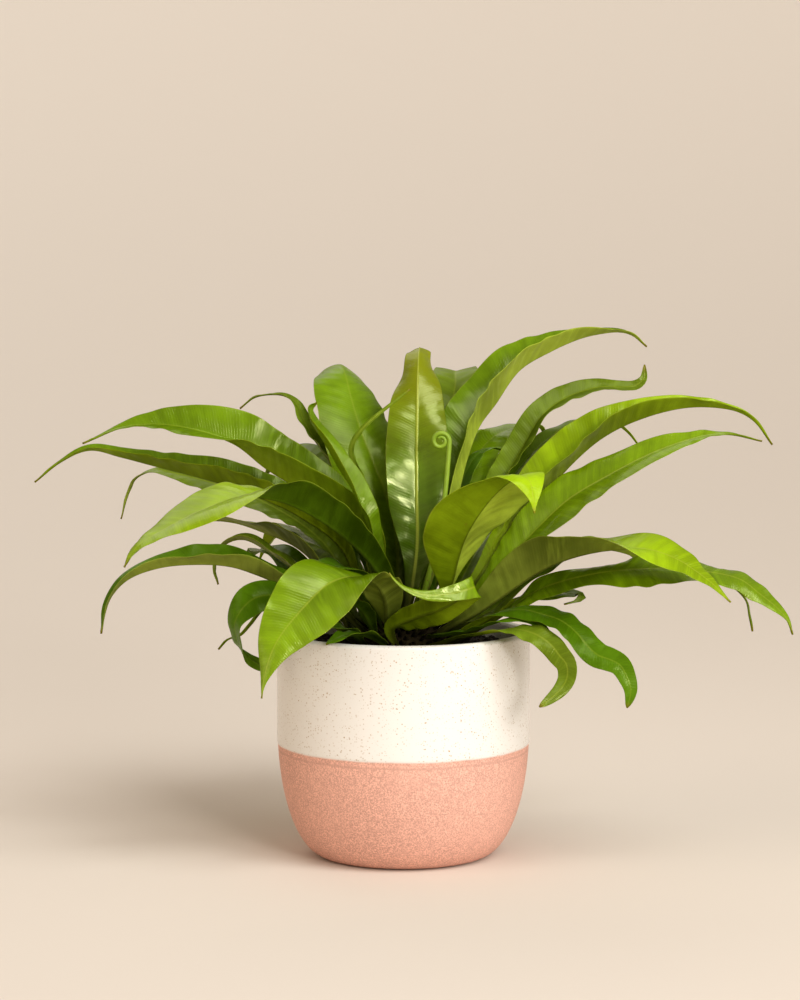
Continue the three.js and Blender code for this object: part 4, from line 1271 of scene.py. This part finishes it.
def crozier_material(fronds):
    """The bright young frond, with brown scales that grow denser down its stalk."""
    shader = Shader("young_frond")
    where = shader.place()
    height = shader.axes(where)[2]
    clouds = shader.noise(where, 120, 3)
    flecks = shader.specks(where, scale=900, share=0.30, radius=0.30, softness=0.1)
    denser = shader.math("ADD", shader.ramp(height, 0.235, 0.170), 0.15)
    colour = shader.mix(clouds, fronds.coil, fronds.coil_light)
    colour = shader.mix(shader.times(flecks, denser), colour, fronds.dry)
    bump = shader.bump(clouds, 0.4, 0.0003)
    solid = shader.node("BsdfPrincipled", inputs={"Base Color": colour, "Roughness": 0.45, "Normal": bump})
    return shader.finish(shader.thin(solid, 0.2, colour))


def backdrop_material(stage):
    """A matte warm floor that grows lighter far from the pot."""
    shader = Shader("backdrop")
    where = shader.place()
    distance = shader.node("VectorMath", output=1, inputs={0: where}, operation="LENGTH")
    colour = shader.mix(shader.noise(where, 1.3, 2), shaded(stage.floor, 0.975), stage.floor)
    surface = shader.node(
        "BsdfPrincipled",
        inputs={
            "Base Color": shader.mix(shader.ramp(distance, 0.7, 6.0), colour, shaded(stage.floor, 1.25)),
            "Roughness": 0.9,
            "Specular IOR Level": 0.2,
        },
    )
    return shader.finish(surface)


# Pot


def bowl_radius(foot, wall, height, top):
    """The radius of a rounded bowl at a height, from its foot out to the straight wall at its top."""
    rise = min(height / top, 1)
    return foot + (wall - foot) * math.sqrt(1 - (1 - rise) ** 2)


def pot_outside(pot):
    """The bowl, the step at the end of the glaze and the straight wall, from the foot to the lip."""
    lip_base = pot.height - LIP_RADIUS
    bowl = []
    for step in range(BOWL_STEPS + 1):
        bowl.append(pot.bowl_height * (1 - math.cos(math.pi / 2 * step / BOWL_STEPS)))
    straight = lip_base - pot.bowl_height
    wall = [pot.bowl_height + straight * step / STRAIGHT_STEPS for step in range(1, STRAIGHT_STEPS)]
    glaze_end = [pot.glaze_line + step * GLAZE_STEP for step in range(-3, 4)]
    above_foot = [height for height in bowl if height > 2 * FOOT_ROUNDING[1]]
    section = []
    for height in sorted({*above_foot, *glaze_end, *wall}):
        radius = bowl_radius(pot.foot_radius, pot.radius, height, pot.bowl_height)
        glazed = float(smoothstep((height - pot.glaze_line) / (6 * GLAZE_STEP) + 0.5))
        section.append((radius - (1 - glazed) * pot.glaze_thickness, height))
    return section


def pot_profile(pot):
    """The pot's section: flat foot, outside, rounded lip, inside and floor."""
    lip_base = pot.height - LIP_RADIUS
    middle = pot.radius - pot.wall / 2
    lip = []
    for step in range(LIP_STEPS + 1):
        turn = math.pi * step / LIP_STEPS
        lip.append((middle + pot.wall / 2 * math.cos(turn), lip_base + LIP_RADIUS * math.sin(turn)))
    foot = pot.foot_radius - pot.wall
    inside = []
    for step in range(1, BOWL_STEPS):
        above = (lip_base - pot.base) * (1 - step / BOWL_STEPS)
        radius = bowl_radius(foot, pot.radius - pot.wall, above, pot.bowl_height - pot.base)
        inside.append((radius, pot.base + above))
    across, up = FOOT_ROUNDING
    return [
        (0, 0),
        (pot.foot_radius - across, 0),
        (pot.foot_radius - across / 3, up),
        *pot_outside(pot),
        *lip,
        *inside,
        (foot, pot.base),
        (0, pot.base),
    ]


class FERN_OT_pot(bpy.types.Operator):
    """Makes the two-tone stoneware pot"""

    bl_idname = "fern.pot"
    bl_label = "Pot"

    def execute(self, context):
        pot = context.scene.fern_pot
        mesh = mesh_from("pot", *turned_form(pot_profile(pot), POT_SIDES))
        new_piece("pot_stoneware", mesh, "pot", [stoneware_material(pot)])
        return {"FINISHED"}


# Soil


def soil_height(soil, x, y):
    """The uneven top of the soil at a place."""
    rim = POT_HIGH.x - POT_WALL
    share = min(max((rim - math.hypot(x, y)) / (rim - CROWN_HIGH.x), 0), 1)
    lumps = 0
    for layer, (closeness, height) in enumerate(SOIL_LUMPS):
        lumps += noise.noise(Vector((x, y, layer)) * closeness) * height
    return soil.level - LUMP_ROOM + soil.mound * share + lumps


def soil_body(soil):
    """The body of the soil, from the crown's foot over its uneven top and down the pot's inside."""

    def top(x, y):
        return soil_height(soil, x, y)

    outside = SOIL_HIGH.x
    hole = CROWN_HIGH.x - 0.001
    hole_floor = CROWN_LOW.z - 0.0004
    profile = [(0, hole_floor), (hole * 0.98, hole_floor)]
    profile += [(hole + (outside - hole) * ring / SOIL_RINGS, top) for ring in range(SOIL_RINGS + 1)]
    profile += [(outside * share, height) for share, height in SOIL_FLANK]
    profile += [(outside * SOIL_FOOT_SHARE, SOIL_LOW.z), (0, SOIL_LOW.z)]
    return turned_form(profile, SOIL_SIDES, from_top=True)


def ball_form():
    """The corners and faces of a small round ball."""
    shape = bmesh.new()
    bmesh.ops.create_icosphere(shape, subdivisions=2, radius=1)
    corners = [tuple(vertex.co) for vertex in shape.verts]
    faces = [[vertex.index for vertex in face.verts] for face in shape.faces]
    shape.free()
    return corners, faces


def crumb(form, centre, size, squash, seed):
    """One crumb of soil or chip of bark: an uneven, flattened ball, as points and faces."""
    corners, faces = form
    turn = Matrix.Rotation(seed * 1.7, 3, "Z") @ Matrix.Rotation(seed * 0.9, 3, "X")
    offset = Vector((seed, 0, 0))
    points = []
    for corner in corners:
        bulge = 1 + 0.5 * noise.noise(Vector(corner) * 1.5 + offset)
        flat = Vector((corner[0], corner[1] * squash, corner[2] * squash * 0.8))
        points.append(tuple(Vector(centre) + turn @ flat * bulge * size))
    return points, faces


class FERN_OT_soil(bpy.types.Operator):
    """Makes the potting soil with its loose crumbs"""

    bl_idname = "fern.soil"
    bl_label = "Soil"

    def execute(self, context):
        soil = context.scene.fern_soil
        draw = random.Random(SOIL_SEED)
        form = ball_form()
        parts = [soil_body(soil)]
        for number in range(soil.crumbs):
            radius = draw.uniform(CROWN_HIGH.x + 0.0005, SOIL_HIGH.x - CRUMB_MARGIN)
            turn = draw.uniform(0, 2 * math.pi)
            x = radius * math.cos(turn)
            y = radius * math.sin(turn)
            size = soil.crumb * draw.uniform(0.3, 1) ** 1.5
            height = soil_height(soil, x, y) + size * 0.25
            parts.append(crumb(form, (x, y, height), size, draw.uniform(0.4, 0.9), number))
        new_piece("soil_crumbs", joined("soil", parts), "soil", [soil_material(soil)])
        return {"FINISHED"}


# Crown


def crown_body():
    """The crown's dome, as points and faces."""

    def dome(x, y):
        rough = noise.noise(Vector((x, y, 0.3)) * 260) * 0.0011 - 0.0012
        return crown_height(math.hypot(x, y) / MM) * MM + rough

    edge = CROWN_HIGH.x
    flank_top = crown_height(CROWN_RADIUS) * MM - 0.006
    profile = [
        (0, CROWN_LOW.z),
        (edge * 0.97, CROWN_LOW.z),
        (edge, CROWN_LOW.z + 0.002),
        (edge, flank_top),
    ]
    profile += [(edge * (1 - ring / CROWN_RINGS), dome) for ring in range(CROWN_RINGS)]
    profile.append((0, crown_height(0) * MM - 0.001))
    return turned_form(profile, CROWN_SIDES)


def crown_scale(base, outward, lean, length, width, thickness):
    """One pointed papery scale, rooted at base and leaning out, as points and faces."""
    upright = Vector((0, 0, 1))
    side = outward.cross(upright).normalized()
    reach = (outward * math.sin(lean) + upright * math.cos(lean)).normalized()
    facing = side.cross(reach).normalized()
    skin = facing * thickness / 2
    points = []
    for share, spread in SCALE_OUTLINE:
        middle = base + reach * length * share + outward * length * 0.18 * share**2
        half = side * width / 2 * spread
        hollow = facing * width * 0.16 * spread
        points += [middle - half, middle - hollow + skin, middle + half, middle - hollow - skin]
    return [tuple(point) for point in points], ring_faces(len(SCALE_OUTLINE), 4)


class FERN_OT_crown(bpy.types.Operator):
    """Makes the crown that the fronds grow from"""

    bl_idname = "fern.crown"
    bl_label = "Crown"

    def execute(self, context):
        crown = context.scene.fern_crown
        draw = random.Random(CROWN_SEED)
        parts = [crown_body()]
        for number in range(crown.scales):
            radius = CROWN_HIGH.x * math.sqrt((number + 0.5) / crown.scales)
            turn = number * GOLDEN_ANGLE
            outward = Vector((math.cos(turn), math.sin(turn), 0))
            root_height = crown_height(radius / MM) * MM - 0.003
            base = outward * radius * 0.96 + Vector((0, 0, root_height))
            lean = math.radians(draw.uniform(10, 30) + 45 * radius / CROWN_HIGH.x)
            length = crown.scale_length * draw.uniform(0.55, 1)
            width = crown.scale_width * draw.uniform(0.7, 1.1)
            parts.append(crown_scale(base, outward, lean, length, width, crown.scale_thickness))
        material = crown_material(crown, context.scene.fern_fronds.stalk)
        new_piece("crown_scales", joined("crown", parts), "crown", [material])
        return {"FINISHED"}


# Fronds


def add_frond(name, settings, materials):
    """One frond from the list, with its upper face and its underside in their own materials."""
    frond = FRONDS[name]
    tone = frond["tone"]
    order = list(FRONDS).index(name)
    rings, upper_count, blade_map, place_map = blade_rings(frond, order, settings)
    count, around = rings.shape[:2]
    mesh = mesh_from(name, rings, ring_faces(count, around))
    add_map(mesh, "blade", blade_map)
    add_map(mesh, "place", place_map)

    # The upper face's columns come first, then the underside's, which start with its left half.
    faces = [frond.get("upper", tone), "under_" + frond.get("under", USUAL_UNDER[tone])]
    column = np.tile(np.arange(around), count - 1)
    upper_columns = upper_count - 1
    sides = np.zeros(len(mesh.polygons), np.int32)
    sides[: len(column)] = column >= upper_columns
    # The left half of an underside can take its own tone, such as the pale one with its painted sheen.
    if "left_under" in frond:
        on_left = (column >= upper_columns) & (column < upper_columns + upper_columns // 2)
        sides[: len(column)][on_left] = len(faces)
        faces.append("under_" + frond["left_under"])
    new_piece(name + "_blade", mesh, name, [materials[face] for face in faces])
    mesh.polygons.foreach_set("material_index", sides)


def make_fronds(context, *starts):
    """The fronds whose names start with one of the words given."""
    fronds = context.scene.fern_fronds
    made = [name for name in FRONDS if name.startswith(starts)]
    if not made:
        raise RuntimeError(f"no frond starts with {starts}")
    materials = leaf_materials(fronds)
    for name in made:
        add_frond(name, fronds, materials)
    return {"FINISHED"}


class FERN_OT_left_fronds(bpy.types.Operator):
    """Makes the fronds on the left side"""

    bl_idname = "fern.left_fronds"
    bl_label = "Left fronds"

    def execute(self, context):
        return make_fronds(context, "frond_left")


class FERN_OT_front_fronds(bpy.types.Operator):
    """Makes the fronds at the front"""

    bl_idname = "fern.front_fronds"
    bl_label = "Front fronds"

    def execute(self, context):
        return make_fronds(context, "frond_front")


class FERN_OT_right_fronds(bpy.types.Operator):
    """Makes the fronds on the right side and over the rim there"""

    bl_idname = "fern.right_fronds"
    bl_label = "Right fronds"

    def execute(self, context):
        return make_fronds(context, "frond_right", "frond_rim")


class FERN_OT_centre_fronds(bpy.types.Operator):
    """Makes the upright fronds in the middle"""

    bl_idname = "fern.centre_fronds"
    bl_label = "Centre fronds"

    def execute(self, context):
        return make_fronds(context, "frond_centre")


class FERN_OT_back_fronds(bpy.types.Operator):
    """Makes the fronds at the back"""

    bl_idname = "fern.back_fronds"
    bl_label = "Back fronds"

    def execute(self, context):
        return make_fronds(context, "frond_back")


def crozier_centres():
    """The middle line of the young frond: a stalk, then a flat spiral."""
    spine, _, _ = along_curve(midrib_points(CROZIER), CROZIER_STALK_STEPS)
    hub = np.array(CROZIER["through"][-1]) + [-COIL_RADIUS, 0, COIL_RISE]
    coil = []
    for step in range(1, CROZIER_COIL_STEPS + 1):
        share = step / CROZIER_COIL_STEPS
        turn = 2 * math.pi * COIL_TURNS * share
        reach = COIL_RADIUS * (1 - COIL_TIGHTENING * share)
        coil.append(hub + [reach * math.cos(turn), 0, reach * math.sin(turn)])
    return np.vstack([spine[:-1], np.array(coil) * MM])


def crozier_rings(centres):
    """Rings of points round the middle line, which grow thinner to the end of the coil."""
    along = unit(np.gradient(centres, axis=0))
    depth = np.array([0.0, 1.0, 0.0])
    across = unit(depth - along * (along @ depth)[:, None])
    up = np.cross(along, across)
    radius = np.linspace(CROZIER_STALK_RADIUS, CROZIER_END_RADIUS, len(centres)) * MM
    turns = 2 * math.pi * np.arange(CROZIER_SIDES) / CROZIER_SIDES
    ring = across[:, None] * np.cos(turns)[:, None] + up[:, None] * np.sin(turns)[:, None]
    return centres[:, None] + ring * radius[:, None, None]


class FERN_OT_crozier(bpy.types.Operator):
    """Makes the young frond that is still coiled"""

    bl_idname = "fern.crozier"
    bl_label = "Crozier"

    def execute(self, context):
        rings = crozier_rings(crozier_centres())
        mesh = mesh_from("crozier", rings, ring_faces(len(rings), CROZIER_SIDES))
        material = crozier_material(context.scene.fern_fronds)
        new_piece("crozier_coil", mesh, "crozier", [material])
        return {"FINISHED"}


# Stage


def add_floor(stage):
    """A round floor that is flat under the pot and rises slowly all round it, as a backdrop."""
    profile = [(0, 0)]
    for ring in range(1, FLOOR_STEPS + 1):
        radius = FLOOR_RADIUS * ring / FLOOR_STEPS
        share = max(radius - FLOOR_FLAT_RADIUS, 0) / (FLOOR_RADIUS - FLOOR_FLAT_RADIUS)
        profile.append((radius, FLOOR_RISE * share**2))
    mesh = mesh_from("floor", *turned_form(profile, FLOOR_SIDES, from_top=True))
    mesh.materials.append(backdrop_material(stage))
    floor = bpy.data.objects.new("floor", mesh)
    bpy.context.scene.collection.objects.link(floor)


def add_lamp(light, towards, distance):
    """Hangs a light so that it looks at the plant from a direction."""
    direction = Vector(towards).normalized()
    lamp = bpy.data.objects.new(light.name, light)
    lamp.location = direction * distance + Vector((0, 0, LAMP_AIM_HEIGHT))
    lamp.rotation_mode = "QUATERNION"
    lamp.rotation_quaternion = direction.to_track_quat("Z", "Y")
    lamp.visible_camera = False
    bpy.context.scene.collection.objects.link(lamp)


def add_lights(stage):
    """The studio's lights, with the strengths that the settings give them."""
    for name, (towards, width, colour) in FAR_LIGHTS.items():
        light = bpy.data.lights.new(name, "SUN")
        light.energy = getattr(stage, name)
        light.angle = math.radians(width)
        light.color = colour
        add_lamp(light, towards, FAR_LAMP_DISTANCE)
    for name, (towards, distance, size, spread, colour) in SOFTBOXES.items():
        light = bpy.data.lights.new(name, "AREA")
        light.shape = "SQUARE"
        light.size = size
        light.spread = math.radians(spread)
        light.energy = getattr(stage, name)
        light.color = colour
        add_lamp(light, towards, distance)


def add_sky(scene, stage):
    """Soft warm light from all round, and the way that the picture shows it."""
    world = bpy.data.worlds.new("studio")
    world.use_nodes = True
    background = world.node_tree.nodes["Background"]
    background.inputs["Color"].default_value = SKY_COLOUR
    background.inputs["Strength"].default_value = stage.sky
    scene.world = world
    scene.view_settings.view_transform = "Standard"
    scene.view_settings.look = "Medium High Contrast"


def add_camera(scene, stage):
    """The camera in front of the pot, a little above its middle."""
    camera_data = bpy.data.cameras.new("camera")
    camera_data.sensor_width = SENSOR_WIDTH
    camera_data.lens = stage.camera_lens
    camera = bpy.data.objects.new("camera", camera_data)
    camera.location = (CAMERA_SIDE, -stage.camera_distance, stage.camera_height)
    camera.rotation_euler = (math.pi / 2 - stage.camera_pitch, 0, 0)
    scene.collection.objects.link(camera)
    scene.camera = camera


class FERN_OT_stage(bpy.types.Operator):
    """Makes the pale floor, the soft light and the camera"""

    bl_idname = "fern.stage"
    bl_label = "Stage"

    def execute(self, context):
        stage = context.scene.fern_stage
        add_floor(stage)
        add_lights(stage)
        add_sky(context.scene, stage)
        add_camera(context.scene, stage)
        return {"FINISHED"}


class FERN_PT_panel(bpy.types.Panel):
    """Lists the settings and the pieces"""

    bl_idname = "FERN_PT_panel"
    bl_label = "Potted fern"
    bl_space_type = "VIEW_3D"
    bl_region_type = "UI"
    bl_category = "Fern"

    def draw(self, context):
        layout = self.layout
        for operator in OPERATORS:
            layout.operator(operator.bl_idname)
        for group in SETTINGS:
            settings = getattr(context.scene, group)
            box = layout.box()
            for name in settings.bl_rna.properties.keys():
                if name not in ("rna_type", "name"):
                    box.prop(settings, name)


OPERATORS = [
    FERN_OT_stage,
    FERN_OT_pot,
    FERN_OT_soil,
    FERN_OT_crown,
    FERN_OT_left_fronds,
    FERN_OT_front_fronds,
    FERN_OT_right_fronds,
    FERN_OT_centre_fronds,
    FERN_OT_back_fronds,
    FERN_OT_crozier,
]
SETTINGS = {
    "fern_pot": PotSettings,
    "fern_soil": SoilSettings,
    "fern_crown": CrownSettings,
    "fern_fronds": FrondSettings,
    "fern_stage": StageSettings,
}


def register():
    """Makes the settings, the operators and the panel known"""
    for settings in SETTINGS.values():
        bpy.utils.register_class(settings)
    for name, settings in SETTINGS.items():
        setattr(bpy.types.Scene, name, bpy.props.PointerProperty(type=settings))
    for operator in OPERATORS:
        bpy.utils.register_class(operator)
    bpy.utils.register_class(FERN_PT_panel)


def unregister():
    """Takes them out again, in the opposite order"""
    bpy.utils.unregister_class(FERN_PT_panel)
    for operator in reversed(OPERATORS):
        bpy.utils.unregister_class(operator)
    for name in SETTINGS:
        delattr(bpy.types.Scene, name)
    for settings in reversed(SETTINGS.values()):
        bpy.utils.unregister_class(settings)


def main():
    """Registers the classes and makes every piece."""
    register()
    bpy.ops.fern.stage()
    bpy.ops.fern.pot()
    bpy.ops.fern.soil()
    bpy.ops.fern.crown()
    bpy.ops.fern.left_fronds()
    bpy.ops.fern.front_fronds()
    bpy.ops.fern.right_fronds()
    bpy.ops.fern.centre_fronds()
    bpy.ops.fern.back_fronds()
    bpy.ops.fern.crozier()


if __name__ == "__main__":
    main()
